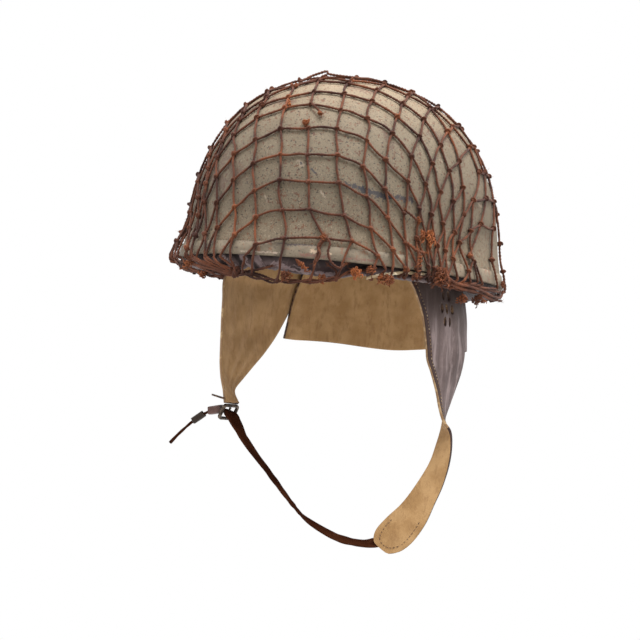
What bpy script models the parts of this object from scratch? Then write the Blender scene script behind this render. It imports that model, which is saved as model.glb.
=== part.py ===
"""A despatch rider's steel helmet with a knotted camouflage net and leather chin harness.

The rim of the shell lies in the plane z = 0 and the origin is the centre of the head's
opening. The wearer faces -Y, and +X is the wearer's left.
"""
import math

import bmesh
import bpy
from mathutils import Vector

# Driving dimensions of the shell, in metres
RIM_HALF_LENGTH = 0.1435
RIM_HALF_WIDTH = 0.1240
DOME_HEIGHT = 0.1547
DOME_POWER = 2.42
CROWN_FORWARD = 0.003
LIP_FLARE_SHARE = 0.035
LIP_SHARE = 0.20
SHELL_WALL = 0.0013
SHELL_SEGMENTS = 48
SHELL_RINGS = 22

# The folded steel strip on the shell's edge
RIM_STRIP = 0.0008
RIM_HEIGHT = 0.0090
FIT_GAP = 0.0005
RIM_SEGMENTS = SHELL_SEGMENTS

# The knotted net
NET_MESH = 0.0235
NET_CORD = 0.0024
NET_STAND_OFF = 0.0041
NET_HEM_DROP = 0.0055
NET_TURN_DEG = 30.7
NET_SHIFT_X = -0.003
NET_SHIFT_Y = 0.002
NET_REACH = 13
NET_SKIRT_RATIO = 3.6
NET_SNAP_SHARE = 0.28
NET_SLIVER_SHARE = 0.12

# The padded leather round the head and the cap above it
PAD_TOP = 0.030
PAD_DROP = 0.009
PAD_DEPTH = 0.0316
PAD_FOOT = 0.010
PAD_SEGMENTS = 52
# Shares that round the pad's section: its shoulder, tuck, heel and toe
PAD_SHOULDER_SHARE = 1.7
PAD_TUCK_SHARE = 0.35
PAD_HEEL_SHARE = 1.5
PAD_HEEL_DROP_SHARE = 0.8
PAD_TOE_DROP_SHARE = 0.85
CAP_WALL = 0.0024
CAP_SEAT = 0.006
CAP_CROWN_SPACE = 0.020
CAP_PINCH_SHARE = 0.93
CAP_SEGMENTS = 30
CAP_RINGS = 14
CROWN_PAD_RADIUS = 0.016
CROWN_PAD_SIDES = 24
CROWN_FACET_GAP = 0.0006

# The leather harness
LEATHER = 0.0022
HARNESS_HEIGHT = 0.220
HARNESS_SIDE_INSET = 0.024
HARNESS_END_INSET = 0.0335
HARNESS_HALF_WIDTH = RIM_HALF_WIDTH - HARNESS_SIDE_INSET
HARNESS_HALF_LENGTH = RIM_HALF_LENGTH - HARNESS_END_INSET
FLAP_COLUMNS = 8
CURTAIN_COLUMNS = 22
CURTAIN_LAP = 0.008
SLIT_LENGTH = 0.0066
SLIT_WIDTH = 0.0024
SLIT_PITCH_ACROSS = 0.0075
SLIT_PITCH_DOWN = 0.0105
SLIT_CENTRE_ACROSS = 0.016
SLIT_CENTRE_DOWN = 0.024
SLIT_REACH_SHARE = 0.4

# The chin strap and its buckle
STRAP_WIDTH = 0.0140
STRAP_THICKNESS = 0.0024
STRAP_STEPS = 2
BUCKLE_BAR = 0.0013
BUCKLE_CORNER_RATIO = 1.6
BUCKLE_OPENING_WIDTH = 0.0170
BUCKLE_OPENING_HEIGHT = 0.0090
PIN_RADIUS = 0.0009
PIN_HOLE_RADIUS = 0.0016
PIN_HOLE_REACH_RATIO = 6.0
KEEPER_WALL = 0.0014
KEEPER_LENGTH = 0.0100
KEEPER_SLACK = 0.0010
KEEPER_STATION = 14.28

# Each row of a flap: its front edge and its rear edge as shares of the harness's half
# width, half length and drop, and how far the middle stands out as a share of the width.
# Columns: front across, front along, front down, rear across, rear along, rear down, bulge.
LEFT_FLAP_SHARES = (
    (0.845, -0.27, -0.055, 0.780, 0.455, -0.055, 0.060),
    (0.855, -0.26, 0.014, 0.800, 0.455, 0.014, 0.060),
    (0.880, -0.20, 0.064, 0.840, 0.455, 0.064, 0.055),
    (0.900, -0.12, 0.132, 0.880, 0.455, 0.132, 0.045),
    (0.910, -0.08, 0.191, 0.900, 0.445, 0.191, 0.040),
    (0.920, -0.05, 0.255, 0.930, 0.430, 0.255, 0.035),
    (0.925, -0.03, 0.300, 0.935, 0.415, 0.300, 0.028),
    (0.945, 0.01, 0.345, 0.930, 0.395, 0.345, 0.020),
    (0.970, 0.06, 0.409, 0.915, 0.355, 0.409, 0.012),
    (0.985, 0.10, 0.468, 0.905, 0.315, 0.464, 0.006),
    (1.005, 0.14, 0.514, 0.900, 0.285, 0.505, 0.0),
    (1.030, 0.20, 0.548, 0.893, 0.275, 0.545, 0.0),
    (1.060, 0.19, 0.600, 0.900, 0.220, 0.600, 0.0),
    (1.070, 0.165, 0.665, 0.893, 0.160, 0.668, 0.0),
    (1.045, 0.145, 0.740, 0.840, 0.090, 0.745, 0.0),
    (1.010, 0.105, 0.810, 0.770, 0.020, 0.818, 0.0),
    (0.970, 0.070, 0.880, 0.690, -0.050, 0.873, 0.0),
    (0.905, 0.030, 0.943, 0.640, -0.110, 0.920, 0.0),
    (0.840, -0.010, 0.980, 0.640, -0.125, 0.958, 0.0),
    (0.775, -0.050, 0.996, 0.700, -0.090, 0.985, 0.0),
)
RIGHT_FLAP_SHARES = (
    (0.810, -0.38, -0.055, 0.780, 0.455, -0.055, 0.060),
    (0.820, -0.42, 0.014, 0.800, 0.455, 0.014, 0.060),
    (0.840, -0.45, 0.064, 0.840, 0.435, 0.064, 0.055),
    (0.830, -0.45, 0.132, 0.870, 0.400, 0.132, 0.045),
    (0.825, -0.45, 0.191, 0.890, 0.350, 0.191, 0.035),
    (0.815, -0.45, 0.255, 0.900, 0.270, 0.255, 0.025),
    (0.805, -0.45, 0.318, 0.885, 0.140, 0.318, 0.015),
    (0.795, -0.45, 0.373, 0.865, 0.000, 0.373, 0.008),
    (0.770, -0.45, 0.427, 0.840, -0.140, 0.427, 0.004),
    (0.715, -0.47, 0.473, 0.765, -0.300, 0.473, 0.0),
    (0.685, -0.48, 0.518, 0.670, -0.336, 0.518, 0.0),
)

# Each row of the neck curtain: how far down, how far the nape stands back and how far
# the laps at the ears stand out, as shares of the harness's drop, half length and width.
CURTAIN_SHARES = (
    (-0.050, 0.905, 0.720),
    (0.014, 0.940, 0.765),
    (0.064, 0.975, 0.806),
    (0.132, 1.010, 0.845),
    (0.191, 1.040, 0.866),
    (0.250, 1.060, 0.890),
)

# The chin strap's route from the tongue to its tail, as shares of the harness's half
# width, half length and drop. Columns: across, along, down, degrees turned from flat.
STRAP_ROUTE_SHARES = (
    (0.880, 0.078, 0.923, 75.0),
    (0.780, 0.026, 0.941, 70.0),
    (0.660, -0.040, 0.959, 55.0),
    (0.550, -0.125, 0.973, 22.0),
    (0.400, -0.225, 0.964, 15.0),
    (0.270, -0.310, 0.936, 10.0),
    (0.150, -0.380, 0.900, 2.0),
    (0.070, -0.430, 0.859, -3.0),
    (-0.030, -0.465, 0.809, -11.0),
    (-0.180, -0.480, 0.745, -14.0),
    (-0.340, -0.480, 0.686, -17.0),
    (-0.500, -0.455, 0.627, -18.0),
    (-0.620, -0.425, 0.577, -10.0),
    (-0.700, -0.410, 0.552, 0.0),
    (-0.780, -0.440, 0.546, 0.0),
    (-0.870, -0.490, 0.564, 0.0),
    (-0.950, -0.545, 0.600, 0.0),
    (-1.030, -0.605, 0.650, 0.0),
    (-1.080, -0.640, 0.686, 0.0),
)
BUCKLE_STATION = 13

# Colour, roughness and metallic value of each material
FINISHES = {
    "painted_steel": ((0.29, 0.26, 0.19), 0.85, 0.1),
    "rim_steel": ((0.24, 0.21, 0.16), 0.60, 0.5),
    "net_cord": ((0.19, 0.055, 0.022), 0.95, 0.0),
    "pad_leather": ((0.14, 0.10, 0.10), 0.60, 0.0),
    "cap_leather": ((0.17, 0.11, 0.08), 0.70, 0.0),
    "crown_felt": ((0.10, 0.08, 0.06), 0.95, 0.0),
    "harness_leather": ((0.11, 0.07, 0.07), 0.55, 0.0),
    "curtain_leather": ((0.10, 0.065, 0.065), 0.60, 0.0),
    "strap_leather": ((0.07, 0.028, 0.020), 0.50, 0.0),
    "keeper_leather": ((0.14, 0.07, 0.06), 0.55, 0.0),
    "buckle_metal": ((0.11, 0.09, 0.07), 0.40, 0.9),
}


def clear_scene():
    for thing in list(bpy.data.objects):
        bpy.data.objects.remove(thing, do_unlink=True)


def make_collection(name):
    collection = bpy.data.collections.new(name)
    bpy.context.scene.collection.children.link(collection)
    return collection


def make_material(name):
    colour, roughness, metallic = FINISHES[name]
    material = bpy.data.materials.new(name)
    material.use_nodes = True
    shader = material.node_tree.nodes["Principled BSDF"]
    shader.inputs["Base Color"].default_value = (*colour, 1.0)
    shader.inputs["Roughness"].default_value = roughness
    shader.inputs["Metallic"].default_value = metallic
    material.diffuse_color = (*colour, 1.0)
    return material


def add_object(name, data, material_name, collection):
    thing = bpy.data.objects.new(name, data)
    thing.data.materials.append(make_material(material_name))
    collection.objects.link(thing)
    return thing


def mesh_from(bm, name):
    mesh = bpy.data.meshes.new(name)
    bm.to_mesh(mesh)
    bm.free()
    return mesh


def lip_factor(height_share):
    fall = max(0.0, 1.0 - height_share / LIP_SHARE)
    return (1.0 + LIP_FLARE_SHARE * fall ** 1.5) / (1.0 + LIP_FLARE_SHARE)


def wall_factor(height, dome_height):
    """Share of the rim's half axes that the wall has at a height."""
    share = min(max(height / dome_height, 0.0), 1.0)
    return (1.0 - share ** DOME_POWER) ** (1.0 / DOME_POWER) * lip_factor(share)


def wall_point(angle, height, offset):
    """A point level with `height`, `offset` outside the shell's outer face."""
    factor = wall_factor(height, DOME_HEIGHT)
    forward = CROWN_FORWARD * max(height, 0.0) / DOME_HEIGHT
    across = RIM_HALF_WIDTH * factor + offset
    along = RIM_HALF_LENGTH * factor + offset
    return Vector((across * math.cos(angle), along * math.sin(angle) - forward, height))


def dome_mesh(name, half_width, half_length, height, base, segments, rings, lipped):
    """The upper half of a UV sphere, bent into the shell's rounded-square profile."""
    bm = bmesh.new()
    bmesh.ops.create_uvsphere(bm, u_segments=segments, v_segments=rings, radius=1.0)
    below = [vert for vert in bm.verts if vert.co.z < -0.001]
    bmesh.ops.delete(bm, geom=below, context="VERTS")
    for vert in bm.verts:
        angle = math.atan2(vert.co.y, vert.co.x)
        rise = min(max(vert.co.z, 0.0), 1.0)
        level = math.sqrt(1.0 - rise * rise) if rise < 0.9999 else 0.0
        up = rise ** (2.0 / DOME_POWER)
        out = level ** (2.0 / DOME_POWER)
        if lipped:
            out *= lip_factor(up)
        vert.co.x = half_width * out * math.cos(angle)
        vert.co.y = half_length * out * math.sin(angle) - CROWN_FORWARD * up
        vert.co.z = base + height * up
    return mesh_from(bm, name)


def add_solidify(thing, thickness, offset):
    modifier = thing.modifiers.new("wall", "SOLIDIFY")
    modifier.thickness = thickness
    modifier.offset = offset
    modifier.use_even_offset = True


def ring_mesh(name, sections):
    """A closed ring through closed sections with the same number of points."""
    bm = bmesh.new()
    rows = [[bm.verts.new(point) for point in section] for section in sections]
    for index, row in enumerate(rows):
        following = rows[(index + 1) % len(rows)]
        for corner in range(len(row)):
            after = (corner + 1) % len(row)
            bm.faces.new((row[corner], row[after], following[after], following[corner]))
    bmesh.ops.recalc_face_normals(bm, faces=bm.faces)
    return mesh_from(bm, name)


def sheet_mesh(name, rows):
    """An open sheet through rows of points."""
    bm = bmesh.new()
    grid = [[bm.verts.new(point) for point in row] for row in rows]
    for upper, lower in zip(grid, grid[1:]):
        for column in range(len(upper) - 1):
            bm.faces.new((upper[column], lower[column], lower[column + 1], upper[column + 1]))
    return mesh_from(bm, name)


def shade(thing, degrees):
    thing.data.shade_smooth()
    thing.data.set_sharp_from_angle(angle=math.radians(degrees))


def make_shell(collection):
    mesh = dome_mesh("shell", RIM_HALF_WIDTH, RIM_HALF_LENGTH, DOME_HEIGHT, 0.0,
                     SHELL_SEGMENTS, SHELL_RINGS, False)
    for vert in mesh.vertices:
        factor = lip_factor(vert.co.z / DOME_HEIGHT)
        forward = CROWN_FORWARD * vert.co.z / DOME_HEIGHT
        vert.co.x *= factor
        vert.co.y = (vert.co.y + forward) * factor - forward
    shell = add_object("shell", mesh, "painted_steel", collection)
    add_solidify(shell, SHELL_WALL, -1.0)
    shade(shell, 50)


def make_rim(collection):
    outer = FIT_GAP + RIM_STRIP
    inner = -SHELL_WALL - FIT_GAP - RIM_STRIP
    floor = -FIT_GAP
    corners = ((outer, RIM_HEIGHT), (outer, floor), (outer - RIM_STRIP, floor - RIM_STRIP),
               (inner + RIM_STRIP, floor - RIM_STRIP), (inner, floor), (inner, RIM_HEIGHT),
               (inner + RIM_STRIP, RIM_HEIGHT), (inner + RIM_STRIP, floor),
               (outer - RIM_STRIP, floor), (outer - RIM_STRIP, RIM_HEIGHT))
    sections = []
    for step in range(RIM_SEGMENTS):
        angle = math.tau * step / RIM_SEGMENTS
        sections.append([wall_point(angle, height, offset) for offset, height in corners])
    rim = add_object("rim", ring_mesh("rim", sections), "rim_steel", collection)
    shade(rim, 40)


def inner_axes(offset):
    return RIM_HALF_WIDTH - offset, RIM_HALF_LENGTH - offset


def make_pad(collection):
    clear = SHELL_WALL + FIT_GAP + RIM_STRIP + FIT_GAP
    shoulder = clear * PAD_SHOULDER_SHARE
    corners = ((-clear, -PAD_DROP * PAD_TUCK_SHARE), (-clear, PAD_TOP / 2.0), (-shoulder, PAD_TOP),
               (-PAD_DEPTH, PAD_TOP), (-PAD_DEPTH, PAD_DROP),
               (-PAD_FOOT * PAD_HEEL_SHARE, -PAD_DROP * PAD_HEEL_DROP_SHARE),
               (-PAD_FOOT, -PAD_DROP), (-shoulder, -PAD_DROP * PAD_TOE_DROP_SHARE))
    sections = []
    for step in range(PAD_SEGMENTS):
        angle = math.tau * step / PAD_SEGMENTS
        sections.append([wall_point(angle, height, offset) for offset, height in corners])
    pad = add_object("brow_pad", ring_mesh("brow_pad", sections), "pad_leather", collection)
    shade(pad, 60)


def make_cap(collection):
    across, along = inner_axes(PAD_DEPTH - CAP_SEAT)
    base = PAD_TOP + FIT_GAP
    height = DOME_HEIGHT - SHELL_WALL - CAP_CROWN_SPACE - base
    mesh = dome_mesh("liner_cap", across * CAP_PINCH_SHARE, along * CAP_PINCH_SHARE, height, base,
                     CAP_SEGMENTS, CAP_RINGS, False)
    cap = add_object("liner_cap", mesh, "cap_leather", collection)
    add_solidify(cap, CAP_WALL, -1.0)
    shade(cap, 50)


def make_crown_pad(collection):
    depth = CAP_CROWN_SPACE - 2.0 * FIT_GAP - CROWN_FACET_GAP
    bpy.ops.mesh.primitive_cylinder_add(vertices=CROWN_PAD_SIDES, radius=CROWN_PAD_RADIUS,
                                        depth=depth)
    pad = bpy.context.active_object
    pad.name = "crown_pad"
    pad.data.materials.append(make_material("crown_felt"))
    for holder in list(pad.users_collection):
        holder.objects.unlink(pad)
    collection.objects.link(pad)
    top = DOME_HEIGHT - SHELL_WALL - FIT_GAP - CROWN_FACET_GAP
    pad.location = (0.0, -CROWN_FORWARD, top - depth / 2.0)
    shade(pad, 40)


def net_surface(point):
    """Zero on the surface that the cords' centre lines lie on, negative inside it."""
    top = DOME_HEIGHT + NET_STAND_OFF
    share = min(max(point.z / top, 0.0), 1.5)
    factor = lip_factor(share)
    across = (RIM_HALF_WIDTH + NET_STAND_OFF) * factor
    along = (RIM_HALF_LENGTH + NET_STAND_OFF) * factor
    forward = CROWN_FORWARD * share
    radius = math.hypot(point.x / across, (point.y + forward) / along)
    return radius ** DOME_POWER + share ** DOME_POWER - 1.0


def net_slope(point):
    step = 1e-5
    slope = Vector()
    for axis in range(3):
        shift = Vector()
        shift[axis] = step
        slope[axis] = (net_surface(point + shift) - net_surface(point - shift)) / (2.0 * step)
    return slope


def solve_three(rows, values):
    """Solve three linear equations by Cramer's rule, or return nothing if they are degenerate."""
    first, second, third = rows
    whole = first.dot(second.cross(third))
    if abs(whole) < 1e-14:
        return None
    mixed = second.cross(third) * values[0]
    mixed += third.cross(first) * values[1]
    mixed += first.cross(second) * values[2]
    return mixed / whole


def next_knot(beside, above, across):
    """The knot one mesh from two neighbours on the surface, opposite the third."""
    point = beside + above - across
    for _ in range(14):
        to_beside = point - beside
        to_above = point - above
        rows = (to_beside * 2.0, to_above * 2.0, net_slope(point) * 0.01)
        values = (NET_MESH ** 2 - to_beside.length_squared,
                  NET_MESH ** 2 - to_above.length_squared, -net_surface(point) * 0.01)
        move = solve_three(rows, values)
        if move is None:
            return None
        if move.length > NET_MESH:
            move *= NET_MESH / move.length
        point = point + move
        if move.length < 1e-7:
            break
    if (point - across).length < NET_MESH * 0.25:
        return None
    return point


def first_strand(start, heading):
    """Knots one mesh apart along the surface in a vertical plane."""
    sideways = Vector((heading.y, -heading.x, 0.0))
    knots = [start]
    before = heading
    for _ in range(NET_REACH):
        last = knots[-1]
        outward = net_slope(last).normalized()
        along = sideways.cross(outward)
        if along.dot(before) < 0.0:
            along.negate()
        point = last + along * NET_MESH
        for _ in range(12):
            away = point - last
            rows = (away * 2.0, sideways, net_slope(point) * 0.01)
            values = (NET_MESH ** 2 - away.length_squared, -away.dot(sideways),
                      -net_surface(point) * 0.01)
            point = point + solve_three(rows, values)
        before = point - last
        knots.append(point)
        if point.z < -NET_MESH * NET_SKIRT_RATIO:
            break
    return knots


def surface_height(x, y):
    low = 0.0
    high = DOME_HEIGHT + NET_STAND_OFF
    for _ in range(40):
        middle = (low + high) / 2.0
        if net_surface(Vector((x, y, middle))) > 0.0:
            high = middle
        else:
            low = middle
    return low


def net_knots():
    """Knots of a square mesh draped over the dome with every cord length kept."""
    turn = math.radians(NET_TURN_DEG)
    first = Vector((math.cos(turn), math.sin(turn), 0.0))
    second = Vector((-math.sin(turn), math.cos(turn), 0.0))
    start = Vector((NET_SHIFT_X, NET_SHIFT_Y, surface_height(NET_SHIFT_X, NET_SHIFT_Y)))
    knots = {}
    for sign in (1, -1):
        for step, point in enumerate(first_strand(start, first * sign)):
            knots[(sign * step, 0)] = point
        for step, point in enumerate(first_strand(start, second * sign)):
            knots[(0, sign * step)] = point
    for sign_i in (1, -1):
        for sign_j in (1, -1):
            for i in range(1, NET_REACH + 1):
                for j in range(1, NET_REACH + 1):
                    beside = knots.get((sign_i * (i - 1), sign_j * j))
                    above = knots.get((sign_i * i, sign_j * (j - 1)))
                    across = knots.get((sign_i * (i - 1), sign_j * (j - 1)))
                    if beside is None or above is None or across is None:
                        continue
                    if min(beside.z, above.z) < -NET_MESH * NET_SKIRT_RATIO:
                        continue
                    knot = next_knot(beside, above, across)
                    if knot is not None:
                        knots[(sign_i * i, sign_j * j)] = knot
    return knots


def clipped_cell(loop, knots):
    """A cell's corners above the hem by name, cut level where its cords cross the hem."""
    corners = []
    for name, following in zip(loop, loop[1:] + loop[:1]):
        point = knots[name]
        after = knots[following]
        above = round(point.z + NET_HEM_DROP, 6)
        above_after = round(after.z + NET_HEM_DROP, 6)
        if above >= 0.0:
            corners.append((name, point))
        if above * above_after < 0.0:
            share = above / (above - above_after)
            corners.append((tuple(sorted((name, following))), point.lerp(after, share)))
    return corners


def make_net(collection):
    """Every second cord of the net, cut through between the cords and closed by its hem."""
    knots = net_knots()
    snap = NET_MESH * NET_SNAP_SHARE
    for point in knots.values():
        if abs(point.z + NET_HEM_DROP) < snap:
            point.z = -NET_HEM_DROP
    bm = bmesh.new()
    verts = {}
    first = -NET_REACH - NET_REACH % 2
    for i in range(first, NET_REACH, 2):
        for j in range(first, NET_REACH, 2):
            loop = [(i, j), (i + 1, j), (i + 2, j), (i + 2, j + 1), (i + 2, j + 2),
                    (i + 1, j + 2), (i, j + 2), (i, j + 1)]
            if not all(name in knots for name in loop):
                continue
            corners = clipped_cell(loop, knots)
            if len(corners) < 3:
                continue
            for name, point in corners:
                if name not in verts:
                    verts[name] = bm.verts.new(point)
            bm.faces.new([verts[name] for name, _ in corners])
    slivers = [face for face in bm.faces if face.calc_area() < NET_SLIVER_SHARE * NET_MESH ** 2]
    bmesh.ops.delete(bm, geom=slivers, context="FACES")
    bmesh.ops.recalc_face_normals(bm, faces=bm.faces)
    cells = list(bm.faces)
    bmesh.ops.inset_individual(bm, faces=cells, thickness=NET_CORD / 2.0, use_even_offset=True)
    bmesh.ops.delete(bm, geom=cells, context="FACES")
    net = add_object("net", mesh_from(bm, "net"), "net_cord", collection)
    add_solidify(net, NET_CORD, 0.0)
    shade(net, 60)


def harness_point(across, along, down):
    return Vector((across * HARNESS_HALF_WIDTH, along * HARNESS_HALF_LENGTH,
                   -down * HARNESS_HEIGHT))


def flap_rows(table, side):
    """Points across each row of a flap, from its front edge to its rear edge."""
    rows = []
    for front_x, front_y, front_z, rear_x, rear_y, rear_z, bulge in table:
        front = harness_point(side * front_x, front_y, front_z)
        rear = harness_point(side * rear_x, rear_y, rear_z)
        row = []
        for column in range(FLAP_COLUMNS + 1):
            share = column / FLAP_COLUMNS
            point = front.lerp(rear, share)
            point.x += side * bulge * HARNESS_HALF_WIDTH * 4.0 * share * (1.0 - share)
            row.append(point)
        rows.append(row)
    return rows


def slit_cutter(collection):
    """Upright rounded slits in rows of two, three and two, as one cutter."""
    bm = bmesh.new()
    for row, count in ((-1, 2), (0, 3), (1, 2)):
        for column in range(count):
            along = SLIT_CENTRE_ACROSS + (column - (count - 1) / 2.0) * SLIT_PITCH_ACROSS
            height = -SLIT_CENTRE_DOWN - row * SLIT_PITCH_DOWN
            made = bmesh.ops.create_cone(bm, cap_ends=True, segments=10, radius1=0.5,
                                         radius2=0.5, depth=HARNESS_HALF_WIDTH * SLIT_REACH_SHARE)
            for vert in made["verts"]:
                x, y, z = vert.co
                vert.co = (z + HARNESS_HALF_WIDTH, along + x * SLIT_WIDTH,
                           height + y * SLIT_LENGTH)
    bmesh.ops.recalc_face_normals(bm, faces=bm.faces)
    cutter = bpy.data.objects.new("slit_cutter", mesh_from(bm, "slit_cutter"))
    cutter.hide_render = True
    cutter.display_type = "WIRE"
    collection.objects.link(cutter)
    return cutter


def make_flap(name, table, side, collection):
    flap = add_object(name, sheet_mesh(name, flap_rows(table, side)), "harness_leather",
                      collection)
    add_solidify(flap, LEATHER, 0.0)
    shade(flap, 50)
    return flap


def make_flaps(collection, cutters):
    left = make_flap("ear_flap_left", LEFT_FLAP_SHARES, 1.0, collection)
    cut = left.modifiers.new("slits", "BOOLEAN")
    cut.operation = "DIFFERENCE"
    cut.solver = "EXACT"
    cut.object = slit_cutter(cutters)
    make_flap("ear_flap_right", RIGHT_FLAP_SHARES, -1.0, collection)


def make_curtain(collection):
    rows = []
    ear_along = LEFT_FLAP_SHARES[0][4] * HARNESS_HALF_LENGTH
    for down, back, out in CURTAIN_SHARES:
        nape = back * HARNESS_HALF_LENGTH
        ear = out * HARNESS_HALF_WIDTH
        height = -down * HARNESS_HEIGHT
        row = [Vector((ear, ear_along - CURTAIN_LAP, height))]
        for column in range(CURTAIN_COLUMNS + 1):
            angle = math.pi * column / CURTAIN_COLUMNS
            row.append(Vector((ear * math.cos(angle),
                               ear_along + (nape - ear_along) * math.sin(angle), height)))
        row.append(Vector((-ear, ear_along - CURTAIN_LAP, height)))
        rows.append(row)
    curtain = add_object("neck_curtain", sheet_mesh("neck_curtain", rows), "curtain_leather",
                         collection)
    add_solidify(curtain, LEATHER, 0.0)
    shade(curtain, 50)


def route_point(table, place):
    """A point of a Catmull-Rom curve through a table's rows, with its last column."""
    index = min(int(place), len(table) - 2)
    share = place - index
    rows = [table[min(max(index + shift, 0), len(table) - 1)] for shift in (-1, 0, 1, 2)]
    values = []
    for before, start, end, after in zip(*rows):
        values.append(0.5 * (2.0 * start + (end - before) * share
                             + (2.0 * before - 5.0 * start + 4.0 * end - after) * share ** 2
                             + (3.0 * start - before - 3.0 * end + after) * share ** 3))
    return harness_point(*values[:3]), values[3]


def route_frame(place):
    """The strap's point, direction, width direction and face direction at a place."""
    point, turned = route_point(STRAP_ROUTE_SHARES, place)
    last = len(STRAP_ROUTE_SHARES) - 1
    ahead = route_point(STRAP_ROUTE_SHARES, min(place + 0.05, last))[0]
    behind = route_point(STRAP_ROUTE_SHARES, max(place - 0.05, 0.0))[0]
    heading = (ahead - behind).normalized()
    level = heading.cross(Vector((0.0, 0.0, 1.0))).normalized()
    upright = level.cross(heading).normalized()
    angle = math.radians(turned)
    width = level * math.cos(angle) + upright * math.sin(angle)
    return point, heading, width, heading.cross(width).normalized()


def make_strap(collection, cutters):
    steps = (len(STRAP_ROUTE_SHARES) - 1) * STRAP_STEPS
    rows = []
    for step in range(steps + 1):
        point, _, width, _ = route_frame(step / STRAP_STEPS)
        rows.append([point + width * STRAP_WIDTH * share for share in (-0.5, 0.0, 0.5)])
    strap = add_object("chin_strap", sheet_mesh("chin_strap", rows), "strap_leather", collection)
    add_solidify(strap, STRAP_THICKNESS, 0.0)
    bpy.ops.mesh.primitive_cylinder_add(vertices=12, radius=PIN_HOLE_RADIUS,
                                        depth=STRAP_THICKNESS * PIN_HOLE_REACH_RATIO)
    hole = bpy.context.active_object
    hole.name = "pin_hole_cutter"
    centre, _, _, upright = route_frame(BUCKLE_STATION)
    hole.location = centre
    hole.rotation_euler = upright.to_track_quat("Z", "Y").to_euler()
    hole.hide_render = True
    hole.display_type = "WIRE"
    for holder in list(hole.users_collection):
        holder.objects.unlink(hole)
    cutters.objects.link(hole)
    cut = strap.modifiers.new("pin_hole", "BOOLEAN")
    cut.operation = "DIFFERENCE"
    cut.solver = "EXACT"
    cut.object = hole
    shade(strap, 50)


def make_buckle(collection):
    centre, _, sideways, upright = route_frame(BUCKLE_STATION)
    half_width = BUCKLE_OPENING_WIDTH / 2.0 + BUCKLE_BAR
    half_height = BUCKLE_OPENING_HEIGHT / 2.0 + BUCKLE_BAR
    corner = BUCKLE_BAR * BUCKLE_CORNER_RATIO
    curve = bpy.data.curves.new("buckle", "CURVE")
    curve.dimensions = "3D"
    curve.bevel_depth = BUCKLE_BAR
    curve.bevel_resolution = 2
    spline = curve.splines.new("POLY")
    route = []
    for quarter in range(4):
        sign_x = (1, -1, -1, 1)[quarter]
        sign_y = (1, 1, -1, -1)[quarter]
        for step in range(4):
            angle = math.radians(90.0 * quarter + 30.0 * step)
            level = sign_x * (half_width - corner) + corner * math.cos(angle)
            rise = sign_y * (half_height - corner) + corner * math.sin(angle)
            route.append(centre + sideways * level + upright * rise)
    spline.points.add(len(route) - 1)
    for point, place in zip(spline.points, route):
        point.co = (*place, 1.0)
    spline.use_cyclic_u = True
    add_object("buckle", curve, "buckle_metal", collection)
    length = BUCKLE_OPENING_HEIGHT - 2.0 * FIT_GAP
    bpy.ops.mesh.primitive_cylinder_add(vertices=12, radius=PIN_RADIUS, depth=length)
    pin = bpy.context.active_object
    pin.name = "buckle_pin"
    pin.data.materials.append(make_material("buckle_metal"))
    pin.location = centre
    pin.rotation_euler = upright.to_track_quat("Z", "Y").to_euler()
    for holder in list(pin.users_collection):
        holder.objects.unlink(pin)
    collection.objects.link(pin)


def make_keeper(collection):
    """A leather loop round the strap's tail."""
    point, heading, width, face = route_frame(KEEPER_STATION)
    inner_width = STRAP_WIDTH / 2.0 + FIT_GAP
    inner_face = STRAP_THICKNESS / 2.0 + KEEPER_SLACK
    sections = []
    outline = ((1, 1), (-1, 1), (-1, -1), (1, -1))
    for sign_w, sign_f in outline:
        near = width * sign_w * inner_width + face * sign_f * inner_face
        far = width * sign_w * (inner_width + KEEPER_WALL)
        far += face * sign_f * (inner_face + KEEPER_WALL)
        half = heading * KEEPER_LENGTH / 2.0
        sections.append([point + near - half, point + near + half, point + far + half,
                         point + far - half])
    keeper = add_object("strap_keeper", ring_mesh("strap_keeper", sections), "keeper_leather",
                        collection)
    shade(keeper, 40)


def main():
    clear_scene()
    parts = make_collection("despatch_rider_helmet")
    cutters = make_collection("cutters")
    make_shell(parts)
    make_rim(parts)
    make_net(parts)
    make_pad(parts)
    make_cap(parts)
    make_crown_pad(parts)
    make_flaps(parts, cutters)
    make_curtain(parts)
    make_strap(parts, cutters)
    make_buckle(parts)
    make_keeper(parts)


main()
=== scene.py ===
"""The looks of a despatch rider's steel helmet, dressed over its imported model.

The rim's plane is z = 0, the wearer faces -Y and +X is the wearer's left.
"""
import math
import random

import bmesh
import bpy
import numpy as np
from mathutils import Matrix, Vector


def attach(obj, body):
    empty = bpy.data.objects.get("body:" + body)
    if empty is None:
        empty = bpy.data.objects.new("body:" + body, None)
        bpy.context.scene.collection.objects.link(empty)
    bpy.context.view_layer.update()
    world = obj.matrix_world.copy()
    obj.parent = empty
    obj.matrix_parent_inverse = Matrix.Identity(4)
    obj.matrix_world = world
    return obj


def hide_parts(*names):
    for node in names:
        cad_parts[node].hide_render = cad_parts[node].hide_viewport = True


# The pressed shell, as the solids have it, in metres
RIM_HALF_LENGTH = 0.1435
RIM_HALF_WIDTH = 0.1240
DOME_HEIGHT = 0.1547
DOME_POWER = 2.42
CROWN_FORWARD = 0.003
LIP_FLARE = 0.035
LIP_SHARE = 0.20
SHELL_WALL = 0.0013
RIM_STRIP = 0.0008
RIM_HEIGHT = 0.0090
FIT_GAP = 0.0005
SHELL_DENTS = 0.00025
RIM_TOP_WAVE = 0.00045
RIM_FOOT_WAVE = 0.00010

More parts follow.
